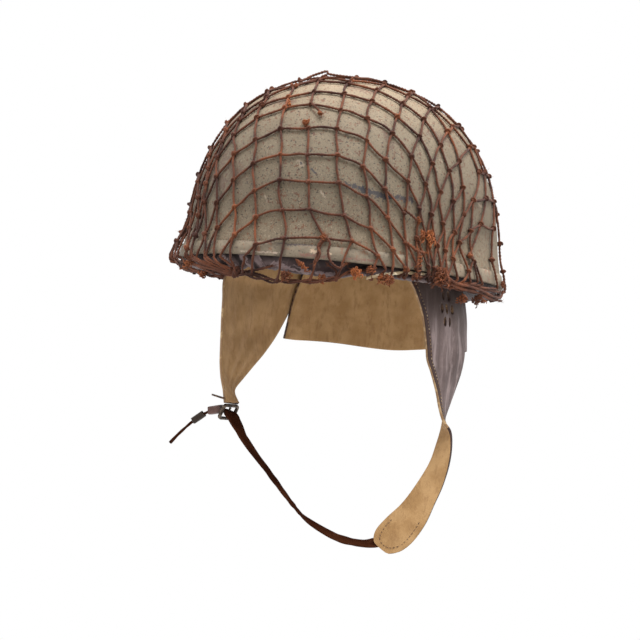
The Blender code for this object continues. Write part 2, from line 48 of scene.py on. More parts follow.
# The net's knots and cords
NET_MESH = 0.0235
NET_STAND_OFF = 0.0041
NET_TURN_DEG = 30.7
NET_START = (-0.003, 0.002)
NET_REACH = 13
NET_SKIRT = 3.6
CORD_RADIUS = 0.00092
CORD_SIDES = 8
CORD_STEP = 0.0013
CORD_TWIST = 0.0052
CORD_PLY = 0.27
CORD_LIFT = 0.0016
KNOT_RADII = (0.0022, 0.0019, 0.0016)
KNOT_LUMPS = 0.16
RIM_LIFT = 0.0030
LOOSE_LIFT = 0.0050
HEM_DROP = 0.0042

# The leather
PAD_TOP = 0.030
PAD_DEPTH = 0.0316
LEATHER = 0.0022
HARNESS_DROP = 0.220
HARNESS_HALF_WIDTH = 0.100
HARNESS_HALF_LENGTH = 0.110
STRAP_WIDTH = 0.0140
STRAP_THICKNESS = 0.0024
CURTAIN_LAP = 0.008
SLIT_SIZE = (0.0036, 0.0080)
SLIT_PITCH = (0.0075, 0.0105)
SLIT_CENTRE = (0.016, -0.024)

# The view: where the camera stands, in degrees and metres, and how the picture is framed
VIEW_TURN_DEG = 37.0
VIEW_RISE_DEG = -4.1
VIEW_ROLL_DEG = 5.1
VIEW_DISTANCE = 1.40
PICTURE_SIZE = 640.0
PICTURE_FOCUS = 1711.0
RIM_CENTRE_IN_PICTURE = (342.7, 273.0)

# Front edge, rear edge and bulge of each row of a flap, as shares of the harness's half
# width, half length and drop. The columns are front across, along and down, rear across,
# along and down, and bulge.
LEFT_FLAP = (
    (0.845, -0.27, -0.055, 0.780, 0.455, -0.055, 0.060),
    (0.855, -0.26, 0.014, 0.800, 0.455, 0.014, 0.060),
    (0.880, -0.20, 0.064, 0.840, 0.455, 0.064, 0.055),
    (0.900, -0.12, 0.132, 0.880, 0.455, 0.132, 0.045),
    (0.910, -0.08, 0.191, 0.900, 0.445, 0.191, 0.040),
    (0.920, -0.05, 0.255, 0.930, 0.430, 0.255, 0.035),
    (0.925, -0.03, 0.300, 0.935, 0.415, 0.300, 0.028),
    (0.945, 0.01, 0.345, 0.930, 0.395, 0.345, 0.020),
    (0.970, 0.06, 0.409, 0.915, 0.355, 0.409, 0.012),
    (0.985, 0.10, 0.468, 0.905, 0.315, 0.464, 0.006),
    (1.005, 0.14, 0.514, 0.900, 0.285, 0.505, 0.0),
    (1.030, 0.20, 0.548, 0.893, 0.275, 0.545, 0.0),
    (1.060, 0.19, 0.600, 0.900, 0.220, 0.600, 0.0),
    (1.070, 0.165, 0.665, 0.893, 0.160, 0.668, 0.0),
    (1.045, 0.145, 0.740, 0.840, 0.090, 0.745, 0.0),
    (1.010, 0.105, 0.810, 0.770, 0.020, 0.818, 0.0),
    (0.970, 0.070, 0.880, 0.690, -0.050, 0.873, 0.0),
    (0.905, 0.030, 0.943, 0.640, -0.110, 0.920, 0.0),
    (0.840, -0.010, 0.980, 0.640, -0.125, 0.958, 0.0),
    (0.790, -0.042, 0.994, 0.685, -0.100, 0.981, 0.0),
    (0.748, -0.068, 0.999, 0.725, -0.080, 0.995, 0.0),
)
RIGHT_FLAP = (
    (0.810, -0.38, -0.055, 0.780, 0.455, -0.055, 0.060),
    (0.820, -0.42, 0.014, 0.800, 0.455, 0.014, 0.060),
    (0.840, -0.45, 0.064, 0.840, 0.435, 0.064, 0.055),
    (0.830, -0.45, 0.132, 0.870, 0.400, 0.132, 0.045),
    (0.825, -0.45, 0.191, 0.890, 0.350, 0.191, 0.035),
    (0.815, -0.45, 0.255, 0.900, 0.270, 0.255, 0.025),
    (0.805, -0.45, 0.318, 0.885, 0.140, 0.318, 0.015),
    (0.795, -0.45, 0.373, 0.865, 0.000, 0.373, 0.008),
    (0.770, -0.45, 0.427, 0.840, -0.140, 0.427, 0.004),
    (0.715, -0.47, 0.473, 0.765, -0.300, 0.473, 0.0),
    (0.685, -0.48, 0.518, 0.670, -0.336, 0.518, 0.0),
)

# Down, nape and ear shares of each row of the neck curtain
CURTAIN = (
    (-0.050, 0.905, 0.720),
    (0.014, 0.940, 0.765),
    (0.064, 0.975, 0.806),
    (0.132, 1.010, 0.845),
    (0.191, 1.040, 0.866),
    (0.250, 1.060, 0.890),
)

# The strap's route: across, along and down shares, degrees turned from flat, width share
STRAP_ROUTE = (
    (0.880, 0.078, 0.923, 75.0, 1.0),
    (0.780, 0.026, 0.941, 70.0, 1.0),
    (0.660, -0.040, 0.959, 34.0, 1.0),
    (0.550, -0.125, 0.973, 14.0, 1.0),
    (0.400, -0.225, 0.964, 15.0, 1.0),
    (0.270, -0.310, 0.936, 10.0, 1.0),
    (0.150, -0.380, 0.900, 2.0, 1.0),
    (0.070, -0.430, 0.859, -3.0, 1.0),
    (-0.030, -0.465, 0.809, -11.0, 1.0),
    (-0.180, -0.480, 0.745, -14.0, 1.0),
    (-0.340, -0.480, 0.686, -17.0, 1.0),
    (-0.500, -0.455, 0.627, -18.0, 1.0),
    (-0.620, -0.425, 0.577, -10.0, 1.0),
    (-0.700, -0.410, 0.552, 0.0, 1.0),
    (-0.780, -0.440, 0.546, 0.0, 1.0),
    (-0.870, -0.490, 0.564, 0.0, 0.98),
    (-0.950, -0.545, 0.600, 0.0, 0.92),
    (-1.030, -0.605, 0.650, 0.0, 0.84),
    (-1.080, -0.640, 0.686, 0.0, 0.70),
)
BUCKLE_STATION = 13.0
STRAP_START = 0.9
KEEPER_STATION = 14.2


def lip_factor(share):
    fall = np.maximum(0.0, 1.0 - share / LIP_SHARE)
    return (1.0 + LIP_FLARE * fall ** 1.5) / (1.0 + LIP_FLARE)


def dome_value(points, lift):
    """Zero on the shell's outer face grown by `lift`, negative inside, for many points."""
    share = np.clip(points[:, 2] / (DOME_HEIGHT + lift), 0.0, 1.5)
    factor = lip_factor(share)
    across = (RIM_HALF_WIDTH + lift) * factor
    along = (RIM_HALF_LENGTH + lift) * factor
    radius = np.hypot(points[:, 0] / across, (points[:, 1] + CROWN_FORWARD * share) / along)
    return radius ** DOME_POWER + share ** DOME_POWER - 1.0


def dome_slope(points, lift):
    step = 1e-5
    slope = np.zeros_like(points)
    for axis in range(3):
        shift = np.zeros(3)
        shift[axis] = step
        slope[:, axis] = dome_value(points + shift, lift) - dome_value(points - shift, lift)
    return slope / (2.0 * step)


def onto_dome(points, lift, rounds=4):
    """Move points along the slope onto the shell's outer face grown by `lift`."""
    points = np.array(points, dtype=float)
    for _ in range(rounds):
        slope = dome_slope(points, lift)
        size = np.maximum((slope ** 2).sum(axis=1), 1e-9)
        points -= slope * (dome_value(points, lift) / size)[:, None]
    return points


def outward(points):
    slope = dome_slope(np.asarray(points, dtype=float), 0.0)
    return slope / np.linalg.norm(slope, axis=1)[:, None]


def wall_point(angle, height, offset):
    """A point level with `height`, `offset` outside the shell's outer face."""
    share = min(max(height / DOME_HEIGHT, 0.0), 1.0)
    factor = (1.0 - share ** DOME_POWER) ** (1.0 / DOME_POWER) * float(lip_factor(share))
    forward = CROWN_FORWARD * share
    across = RIM_HALF_WIDTH * factor + offset
    along = RIM_HALF_LENGTH * factor + offset
    return Vector((across * math.cos(angle), along * math.sin(angle) - forward, height))


def view_axes():
    """The camera's place and its right, up and forward directions."""
    turn = math.radians(VIEW_TURN_DEG)
    rise = math.radians(VIEW_RISE_DEG)
    roll = math.radians(VIEW_ROLL_DEG)
    toward = Vector((math.sin(turn) * math.cos(rise), -math.cos(turn) * math.cos(rise),
                     math.sin(rise)))
    level = Vector((math.cos(turn), math.sin(turn), 0.0))
    upright = level.cross(-toward).normalized()
    right = level * math.cos(roll) + upright * math.sin(roll)
    up = upright * math.cos(roll) - level * math.sin(roll)
    half = PICTURE_SIZE / 2.0
    shift_x = (RIM_CENTRE_IN_PICTURE[0] - half) / PICTURE_FOCUS
    shift_y = (half - RIM_CENTRE_IN_PICTURE[1]) / PICTURE_FOCUS
    forward = (-toward - right * shift_x - up * shift_y).normalized()
    right = (right - forward * right.dot(forward)).normalized()
    up = right.cross(forward)
    return toward * VIEW_DISTANCE, right, up, forward


def on_shell(picture_x, picture_y, lift=0.0):
    """The point of the shell's near face seen at a place in the 640 by 640 picture."""
    place, right, up, forward = view_axes()
    half = PICTURE_SIZE / 2.0
    ray = forward + right * ((picture_x - half) / PICTURE_FOCUS)
    ray += up * ((half - picture_y) / PICTURE_FOCUS)
    travel = np.linspace(VIEW_DISTANCE - 0.20, VIEW_DISTANCE, 801)
    points = np.array(place)[None, :] + np.array(ray)[None, :] * travel[:, None]
    inside = np.nonzero(dome_value(points, lift) <= 0.0)[0]
    index = inside[0] if len(inside) else int(np.argmin(dome_value(points, lift)))
    return Vector(onto_dome(points[index:index + 1], lift)[0])


def make_camera():
    place, right, up, forward = view_axes()
    data = bpy.data.cameras.new("camera")
    data.sensor_width = 36.0
    data.lens = 36.0 * PICTURE_FOCUS / PICTURE_SIZE
    data.clip_start = 0.05
    camera = bpy.data.objects.new("camera", data)
    bpy.context.scene.collection.objects.link(camera)
    camera.matrix_world = Matrix((
        (right.x, up.x, -forward.x, place.x),
        (right.y, up.y, -forward.y, place.y),
        (right.z, up.z, -forward.z, place.z),
        (0.0, 0.0, 0.0, 1.0)))
    bpy.context.scene.camera = camera


def add_piece(name, mesh, materials, replaced=()):
    piece = bpy.data.objects.new(name, mesh)
    for material in materials:
        mesh.materials.append(material)
    bpy.context.scene.collection.objects.link(piece)
    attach(piece, "root")
    if replaced:
        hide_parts(*replaced)
    return piece


def mesh_of(name, points, faces, smooth=True):
    mesh = bpy.data.meshes.new(name)
    mesh.from_pydata([tuple(point) for point in points], [], faces)
    mesh.update()
    if smooth:
        mesh.shade_smooth()
    return mesh


def grid_faces(rows, columns, wrap_rows=False, wrap_columns=False):
    """Faces of a grid of points laid down row by row."""
    faces = []
    for row in range(rows if wrap_rows else rows - 1):
        here, below = row * columns, (row + 1) % rows * columns
        for column in range(columns if wrap_columns else columns - 1):
            beside = (column + 1) % columns
            faces.append((here + column, below + column, below + beside, here + beside))
    return faces


def ring_mesh(name, points, rows, columns):
    """A closed ring of `rows` closed sections."""
    mesh = mesh_of(name, points, grid_faces(rows, columns, wrap_rows=True, wrap_columns=True))
    flip_outward(mesh)
    return mesh


def domed_mesh(name, points, top, rings, segments):
    """Rings of points that close in one point at the top."""
    faces = grid_faces(rings, segments, wrap_columns=True)
    last = (rings - 1) * segments
    faces += [(last + segment, last + (segment + 1) % segments, rings * segments)
              for segment in range(segments)]
    mesh = mesh_of(name, points + [top], faces)
    flip_outward(mesh)
    return mesh


def flip_outward(mesh):
    bm = bmesh.new()
    bm.from_mesh(mesh)
    bmesh.ops.recalc_face_normals(bm, faces=bm.faces)
    bm.to_mesh(mesh)
    bm.free()


def solidify(piece, thickness, offset, second=0, edge=0):
    wall = piece.modifiers.new("wall", "SOLIDIFY")
    wall.thickness = thickness
    wall.offset = offset
    wall.use_even_offset = True
    wall.material_offset = second
    wall.material_offset_rim = edge


def catmull(before, start, end, after, share):
    """A place on the smooth curve from `start` to `end`."""
    return 0.5 * (2.0 * start + (end - before) * share
                  + (2.0 * before - 5.0 * start + 4.0 * end - after) * share ** 2
                  + (3.0 * start - before - 3.0 * end + after) * share ** 3)


def four_rows(table, index):
    """The rows that a smooth curve needs between one row and the next."""
    return [table[min(max(index + shift, 0), len(table) - 1)] for shift in (-1, 0, 1, 2)]


def smooth_route(points, per_span):
    """A smooth curve through given points."""
    route = [catmull(*four_rows(points, index), step / per_span)
             for index in range(len(points) - 1) for step in range(per_span)]
    return route + [points[-1]]


def table_at(table, place):
    """A row of a table read at a fractional place along a smooth curve."""
    index = min(int(place), len(table) - 2)
    return [catmull(*column, place - index) for column in zip(*four_rows(table, index))]


def ease(value, low, high):
    """A smooth rise from 0 at `low` to 1 at `high`."""
    share = min(max((value - low) / (high - low), 0.0), 1.0)
    return share * share * (3.0 - 2.0 * share)


def within(value, low, full, fade, high):
    """1 from `full` to `fade`, with a smooth fall to 0 at `low` and at `high`."""
    return ease(value, low, full) * (1.0 - ease(value, fade, high))


def scatter(chance, spread):
    """A random direction and length, as a vector."""
    return Vector([chance.gauss(0.0, spread) for _ in range(3)])


def upright(height):
    return Vector((0.0, 0.0, height))


def around(side, other, angle):
    """A direction turned by `angle` from `side` toward `other`."""
    return side * math.cos(angle) + other * math.sin(angle)


def end_of(table):
    """The last place that is read along a table's rows."""
    return len(table) - 1.0001


def harness_point(across, along, down):
    return Vector((across * HARNESS_HALF_WIDTH, along * HARNESS_HALF_LENGTH,
                   -down * HARNESS_DROP))


class TubeSet:
    """Collects many tubes in one mesh."""

    def __init__(self):
        self.points = []
        self.faces = []

    def add(self, route, radii, sides=8, twist=0.0, ply=0.0):
        """A tube along a route, with a radius at each point. A two-ply cord has an oval
        section that turns once in `twist` metres."""
        route = [Vector(point) for point in route]
        count = len(route)
        start = len(self.points)
        side = None
        travelled = 0.0
        for index, point in enumerate(route):
            ahead = route[min(index + 1, count - 1)] - route[max(index - 1, 0)]
            if ahead.length < 1e-9:
                ahead = Vector((0.0, 0.0, 1.0))
            ahead.normalize()
            if side is None:
                side = ahead.orthogonal()
            side = (side - ahead * side.dot(ahead)).normalized()
            other = ahead.cross(side)
            if index:
                travelled += (point - route[index - 1]).length
            phase = math.tau * travelled / twist if twist else 0.0
            radius = radii[index] if hasattr(radii, "__len__") else radii
            for corner in range(sides):
                angle = math.tau * corner / sides
                swell = 1.0 + ply * math.cos(2.0 * (angle - phase))
                self.points.append(point + around(side, other, angle) * radius * swell)
        for index in range(count - 1):
            for corner in range(sides):
                after = (corner + 1) % sides
                first = start + index * sides
                self.faces.append((first + corner, first + after, first + sides + after,
                                   first + sides + corner))
        self.faces.append(tuple(start + corner for corner in reversed(range(sides))))
        last = start + (count - 1) * sides
        self.faces.append(tuple(last + corner for corner in range(sides)))

    def blob(self, centre, axes, sizes, lumps, chance):
        """A small uneven ball, for a knot."""
        rings, segments = 6, 9
        start = len(self.points)
        turn = chance.uniform(0.0, math.tau)
        for ring in range(1, rings):
            polar = math.pi * ring / rings
            for segment in range(segments):
                around = math.tau * segment / segments
                lump = 1.0 + lumps * math.sin(2.0 * around + 3.0 * polar + turn)
                lump += 0.5 * lumps * chance.uniform(-1.0, 1.0)
                offset = axes[0] * (math.sin(polar) * math.cos(around) * sizes[0] * lump)
                offset += axes[1] * (math.sin(polar) * math.sin(around) * sizes[1] * lump)
                offset += axes[2] * (math.cos(polar) * sizes[2] * lump)
                self.points.append(centre + offset)
        low = len(self.points)
        self.points.append(centre + axes[2] * sizes[2])
        self.points.append(centre - axes[2] * sizes[2])
        for ring in range(rings - 2):
            for segment in range(segments):
                after = (segment + 1) % segments
                first = start + ring * segments
                self.faces.append((first + segment, first + segments + segment,
                                   first + segments + after, first + after))
        for segment in range(segments):
            after = (segment + 1) % segments
            self.faces.append((low, start + segment, start + after))
            last = start + (rings - 2) * segments
            self.faces.append((low + 1, last + after, last + segment))

    def piece(self, name, look, slot, replaced=()):
        return add_piece(name, mesh_of(name, self.points, self.faces), [look], replaced)


class Graph:
    """A short way to write node trees."""

    def __init__(self, tree):
        self.tree = tree

    def node(self, kind, operation=None, **inputs):
        made = self.tree.nodes.new(kind)
        if operation:
            made.operation = operation
        return self.fill(made, inputs)

    def fill(self, made, inputs):
        for name, value in inputs.items():
            self.feed(made, name.replace("_", " "), value)
        return made

    def feed(self, made, name, value):
        """Link or set one input, by its name or its number."""
        socket = made.inputs[name]
        if isinstance(value, bpy.types.NodeSocket):
            self.tree.links.new(value, socket)
        elif hasattr(value, "__len__") and len(socket.default_value) == 4:
            socket.default_value = (*value[:3], 1.0)
        else:
            socket.default_value = value

    def place(self):
        return self.node("ShaderNodeTexCoord").outputs["Object"]

    def height(self, place):
        return self.node("ShaderNodeSeparateXYZ", Vector=place).outputs["Z"]

    def noise(self, vector, scale, detail=3.0, roughness=0.55):
        return self.node("ShaderNodeTexNoise", Vector=vector, Scale=scale, Detail=detail,
                         Roughness=roughness).outputs["Fac"]

    def patches(self, vector, scale, detail, roughness, low, high):
        """Noise sharpened into patches: 0 under `low`, 1 over `high`."""
        return self.step(self.noise(vector, scale, detail, roughness), low, high)

    def cells(self, vector, scale):
        """The distance to the nearest border between cells."""
        made = self.node("ShaderNodeTexVoronoi", Vector=vector, Scale=scale)
        made.feature = "DISTANCE_TO_EDGE"
        return made.outputs["Distance"]

    def stretch(self, vector, scale, turn=(0.0, 0.0, 0.0)):
        made = self.node("ShaderNodeMapping", Vector=vector)
        made.inputs["Scale"].default_value = scale
        made.inputs["Rotation"].default_value = turn
        return made.outputs["Vector"]

    def sum(self, first, second, operation="ADD", clamp=False):
        made = self.node("ShaderNodeMath", operation)
        made.use_clamp = clamp
        self.feed(made, 0, first)
        self.feed(made, 1, second)
        return made.outputs["Value"]

    def times(self, first, second):
        return self.sum(first, second, "MULTIPLY")

    def step(self, value, low, high, into=(0.0, 1.0)):
        """Smooth step from `low` to `high`."""
        made = self.node("ShaderNodeMapRange", Value=value, From_Min=low, From_Max=high,
                         To_Min=into[0], To_Max=into[1])
        made.interpolation_type = "SMOOTHSTEP"
        return made.outputs["Result"]

    def mix(self, amount, first, second, blend="MIX"):
        made = self.node("ShaderNodeMix")
        made.data_type = "RGBA"
        made.blend_type = blend
        for number, value in ((0, amount), (6, first), (7, second)):
            self.feed(made, number, value)
        return made.outputs[2]

    def layer(self, base, mask, strength, colour):
        """A colour laid over another where the mask is, at part strength."""
        return self.mix(self.times(mask, strength), base, colour)

    def bump(self, height, distance, strength):
        return self.node("ShaderNodeBump", Height=height, Strength=strength,
                         Distance=distance).outputs["Normal"]

    def effect(self, group, **inputs):
        made = self.node("ShaderNodeGroup")
        made.node_tree = group
        return self.fill(made, inputs).outputs

    def smears(self, base, smear, marks, strength, colour, place, grain, foot=None):
        """Marks laid over a colour, each between two places of the picture."""
        for first, last, radius, ragged in marks:
            mask = self.effect(smear, Start=place(*first), End=(foot or place)(*last),
                               Radius=radius, Ragged=ragged, Grain=grain)["Mask"]
            base = self.layer(base, mask, strength, colour)
        return base


def new_effect(name, inputs, outputs):
    """An empty shader node group with named sockets, its graph, and its two end nodes."""
    tree = bpy.data.node_groups.new(name, "ShaderNodeTree")
    kinds = {"value": "NodeSocketFloat", "vector": "NodeSocketVector", "colour": "NodeSocketColor"}
    for label, kind, default in inputs:
        socket = tree.interface.new_socket(label, in_out="INPUT", socket_type=kinds[kind])
        if default is not None:
            socket.default_value = (*default, 1.0) if kind == "colour" else default
    for label, kind in outputs:
        tree.interface.new_socket(label, in_out="OUTPUT", socket_type=kinds[kind])
    start = tree.nodes.new("NodeGroupInput")
    end = tree.nodes.new("NodeGroupOutput")
    return tree, Graph(tree), start.outputs, end.inputs


def smear_effect():
    """A mask that is full near the line between two points and ragged at its border."""
    tree, graph, given, result = new_effect(
        "smear", (("Start", "vector", None), ("End", "vector", None),
                  ("Radius", "value", 0.003), ("Ragged", "value", 0.002),
                  ("Grain", "value", 400.0)), (("Mask", "value"),))
    place = graph.place()

    def vector_math(operation, *values, output="Vector"):
        made = graph.node("ShaderNodeVectorMath", operation)
        for number, value in enumerate(values):
            graph.feed(made, number, value)
        return made.outputs[output]

    from_start = vector_math("SUBTRACT", place, given["Start"])
    line = vector_math("SUBTRACT", given["End"], given["Start"])
    along = vector_math("DOT_PRODUCT", from_start, line, output="Value")
    whole = vector_math("DOT_PRODUCT", line, line, output="Value")
    share = graph.sum(along, graph.sum(whole, 1e-9), "DIVIDE", clamp=True)
    reached = graph.node("ShaderNodeVectorMath", "SCALE", Vector=line, Scale=share)
    gap = vector_math("SUBTRACT", from_start, reached.outputs["Vector"])
    rough = graph.sum(graph.noise(place, given["Grain"], 4.0, 0.65), 0.5, "SUBTRACT")
    shifted = graph.sum(vector_math("LENGTH", gap, output="Value"),
                        graph.times(graph.times(rough, 4.0), given["Ragged"]))
    depth = graph.sum(given["Radius"], shifted, "SUBTRACT")
    tree.links.new(graph.step(depth, -0.0003, 0.0006), result["Mask"])
    return tree


def hide_effect():
    """Leather grain: pebbles, creases and a slow change of tone."""
    tree, graph, given, result = new_effect(
        "hide", (("Pebble scale", "value", 900.0), ("Crease scale", "value", 120.0)),
        (("Height", "value"), ("Tone", "value"), ("Rub", "value")))
    place = graph.place()
    pebbles = graph.step(graph.cells(place, given["Pebble scale"]), 0.0, 0.35)
    creases = graph.noise(graph.stretch(place, (1.0, 1.0, 0.35)), given["Crease scale"], 5.0, 0.6)
    height = graph.sum(graph.times(pebbles, 0.35), graph.times(creases, 0.9))
    rubbed = graph.stretch(place, (1.0, 1.0, 0.5))
    for name, value in (("Height", height),
                        ("Tone", graph.patches(place, 34.0, 4.0, 0.6, 0.34, 0.68)),
                        ("Rub", graph.patches(rubbed, 90.0, 6.0, 0.7, 0.56, 0.70))):
        tree.links.new(value, result[name])
    return tree


def specks_effect():
    """Scattered specks: `Amount` of the surface at `Scale` cells a metre."""
    tree, graph, given, result = new_effect(
        "specks", (("Scale", "value", 500.0), ("Amount", "value", 0.2)), (("Mask", "value"),))
    place = graph.place()
    spots = graph.noise(place, given["Scale"], 2.0, 0.5)
    limit = graph.sum(0.74, graph.times(given["Amount"], 0.30), "SUBTRACT")
    over = graph.sum(spots, limit, "SUBTRACT")
    tree.links.new(graph.step(over, 0.0, 0.04), result["Mask"])
    return tree


class Look(Graph):
    """A material's graph, which ends in its shader."""

    def __init__(self, name, roughness, **inputs):
        self.material = bpy.data.materials.new(name)
        self.material.use_nodes = True
        super().__init__(self.material.node_tree)
        self.shader = self.fill(self.tree.nodes["Principled BSDF"],
                                {"Roughness": roughness, **inputs})
        self.where = self.place()

    def finish(self, base, height, depth, strength, **inputs):
        """Feed the shader its colour, its bumps and other inputs."""
        normal = self.bump(height, depth, strength)
        self.fill(self.shader, {"Base_Color": base, "Normal": normal, **inputs})
        return self.material


# Scale, amount, colour and strength of the specks in the paint
PAINT_SPECKS = (
    (250.0, 0.30, (0.120, 0.050, 0.030), 0.70), (420.0, 0.42, (0.140, 0.060, 0.030), 0.80),
    (640.0, 0.40, (0.035, 0.026, 0.022), 0.85), (980.0, 0.34, (0.40, 0.34, 0.25), 0.60),
)
# Warm tint of the paint near the rim, half way up and at the crown, with painted shade half way up
# and a painted highlight at the crown; and what dulls the rim strip
PAINT_SHADING = ((1.0, 0.90, 0.84), (0.68, 0.61, 0.56), (1.06, 0.92, 0.84))
RIM_GRIME = (0.98, 0.87, 0.80)

# Marks on the shell, each from one place of the picture to another, then its radius and
# raggedness in metres
DARK_SMEARS = (
    ((342, 184), (366, 189), 0.0015, 0.0032),
    ((362, 190), (388, 197), 0.0024, 0.0030),
    ((384, 196), (411, 200), 0.0020, 0.0034),
    ((311, 169), (316, 173), 0.0006, 0.0014),
    ((300.5, 162.5), (302, 164), 0.0007, 0.0012),
)
PALE_CHIPS = (
    ((299, 161.5), (303, 165), 0.0016, 0.0022),
    ((320, 191), (326, 199), 0.0006, 0.0030),
    ((478, 204), (482, 207), 0.0010, 0.0020),
    ((265, 196), (267, 202), 0.0004, 0.0016),
    ((440, 160), (446, 166), 0.0005, 0.0020),
)
PURPLE_STAINS = (
    ((354, 88), (370, 92), 0.0040, 0.0070),
    ((266, 103), (292, 102), 0.0040, 0.0080),
    ((208, 156), (222, 184), 0.0060, 0.0110),
    ((226, 156), (240, 176), 0.0050, 0.0160),
    ((384, 130), (392, 146), 0.0030, 0.0090),
    ((430, 134), (452, 142), 0.0030, 0.0100),
)


def paint_material(effects):
    """Matt sandy khaki paint with grit, specks, stains and chips."""
    look = Look("sandy_khaki_paint", 0.82)
    place = look.where
    height = look.height(place)
    # Painted highlight: the paint is mixed lighter towards the crown and darker towards the rim.
    base = look.mix(look.step(height, -0.01, 0.13), (0.150, 0.128, 0.088), (0.225, 0.196, 0.138))
    base = look.layer(base, look.patches(place, 26.0, 5.0, 0.62, 0.38, 0.66), 0.55,
                      (0.165, 0.135, 0.088))
    bloom = look.patches(look.stretch(place, (1.0, 1.0, 1.4)), 60.0, 6.0, 0.7, 0.5, 0.72)
    base = look.layer(base, bloom, 0.30, (0.30, 0.265, 0.195))
    grit = look.noise(place, 1500.0, 2.0, 0.6)
    base = look.layer(base, look.step(grit, 0.50, 0.75), 0.50, (0.37, 0.33, 0.25))
    base = look.layer(base, look.step(grit, 0.47, 0.28), 0.60, (0.055, 0.045, 0.032))
    for scale, amount, colour, strength in PAINT_SPECKS:
        mask = look.effect(effects["specks"], Scale=scale, Amount=amount)["Mask"]
        base = look.layer(base, mask, strength, colour)
    for marks, colour, strength in ((PURPLE_STAINS, (0.110, 0.058, 0.046), 0.50),
                                    (PALE_CHIPS, (0.38, 0.33, 0.26), 0.75),
                                    (DARK_SMEARS, (0.036, 0.038, 0.052), 0.85)):
        base = look.smears(base, effects["smear"], marks, strength, colour, on_shell, 480.0)
    # Painted shading by height, multiplied in with a warm tint: painted shade half way up, a
    # painted highlight at the crown.
    low, middle, high = PAINT_SHADING
    painted_shading = look.mix(look.step(height, 0.008, 0.050), low, middle)
    painted_shading = look.mix(look.step(height, 0.090, 0.150), painted_shading, high)
    bumps = look.sum(look.times(grit, 0.8), look.times(look.noise(place, 240.0, 4.0), 0.6))
    return look.finish(look.mix(1.0, base, painted_shading, "MULTIPLY"), bumps, 0.00035, 0.55,
                       Roughness=look.step(grit, 0.3, 0.7, (0.70, 0.95)))


def inner_paint_material():
    look = Look("dark_inner_paint", 0.7)
    tone = look.patches(look.where, 90.0, 5.0, 0.55, 0.35, 0.7)
    return look.finish(look.mix(tone, (0.045, 0.042, 0.030), (0.075, 0.066, 0.045)),
                       look.noise(look.where, 700.0), 0.0003, 0.4)


RIM_RUST = (((302, 255), (330, 257), 0.0012, 0.0030), ((412, 264), (420, 267), 0.0016, 0.0030),
            ((345, 258), (376, 261), 0.0007, 0.0022))
RIM_BRIGHT = (((262, 252), (282, 253), 0.0005, 0.0012), ((240, 251), (262, 252), 0.0003, 0.0010),
              ((466, 262), (488, 270), 0.0006, 0.0020))
RIM_CREAM = (((312, 251), (319, 252), 0.0014, 0.0016), ((328, 253), (331, 254), 0.0008, 0.0010))
RIM_DARK = (((274, 243.4), (290, 244), 0.0003, 0.0010), ((288, 245), (306, 244), 0.0009, 0.0014),
            ((304, 244), (321, 246), 0.0007, 0.0014), ((242, 241), (274, 243), 0.0002, 0.0007))


def on_rim(picture_x, picture_y):
    return on_shell(picture_x, picture_y, RIM_LIFT * 0.5)


def rim_material(effects):
    """Khaki paint worn through to dull steel and rust on the folded strip."""
    look = Look("worn_rim_paint", 0.5)
    place = look.where
    base = look.mix(look.patches(place, 70.0, 5.0, 0.65, 0.35, 0.65), (0.135, 0.118, 0.085),
                    (0.215, 0.190, 0.140))
    bare = look.patches(look.stretch(place, (1.0, 1.0, 2.2)), 210.0, 6.0, 0.72, 0.600, 0.64)
    base = look.layer(base, bare, 0.85, (0.105, 0.095, 0.088))
    base = look.layer(base, look.patches(place, 160.0, 5.0, 0.7, 0.57, 0.64), 0.7,
                      (0.20, 0.085, 0.045))
    specks = look.effect(effects["specks"], Scale=600.0, Amount=0.35)["Mask"]
    base = look.layer(base, specks, 0.7, (0.05, 0.04, 0.03))
    for marks, colour in ((RIM_RUST, (0.185, 0.100, 0.080)), (RIM_BRIGHT, (0.42, 0.37, 0.31)),
                          (RIM_CREAM, (0.52, 0.42, 0.31)), (RIM_DARK, (0.050, 0.038, 0.044))):
        base = look.smears(base, effects["smear"], marks, 0.85, colour, on_rim, 600.0)
    bumps = look.sum(look.times(bare, -0.5), look.noise(place, 500.0, 4.0))
    return look.finish(look.mix(1.0, base, RIM_GRIME, "MULTIPLY"), bumps, 0.0004, 0.6,
                       Metallic=look.times(bare, 0.75),
                       Roughness=look.step(bare, 0.0, 1.0, (0.72, 0.42)))


def cord_material(name, dark, light, warm):
    """Rust-brown cord: dyed fibres, with fine dark flecks as painted shade between the plies and
    fine warm flecks as painted highlights on their tops, both scattered by noise.
    """
    look = Look(name, 0.92)
    place = look.where
    base = look.mix(look.patches(place, 55.0, 4.0, 0.6, 0.32, 0.68), dark, light)
    base = look.layer(base, look.patches(place, 24.0, 3.0, 0.6, 0.50, 0.70), 0.6, warm)
    fibres = look.noise(look.stretch(place, (1.0, 1.0, 1.0), (0.6, 0.5, 0.4)), 2600.0, 3.0, 0.7)
    # Painted shade: dark flecks from the fibre noise; painted highlight: warm flecks from it.
    base = look.layer(base, look.step(fibres, 0.42, 0.22), 0.75, (0.022, 0.010, 0.006))
    base = look.layer(base, look.step(fibres, 0.56, 0.80), 0.55, warm)
    return look.finish(base, fibres, 0.0004, 0.8, Sheen_Weight=0.08, Sheen_Roughness=0.5,
                       Specular_IOR_Level=0.2)


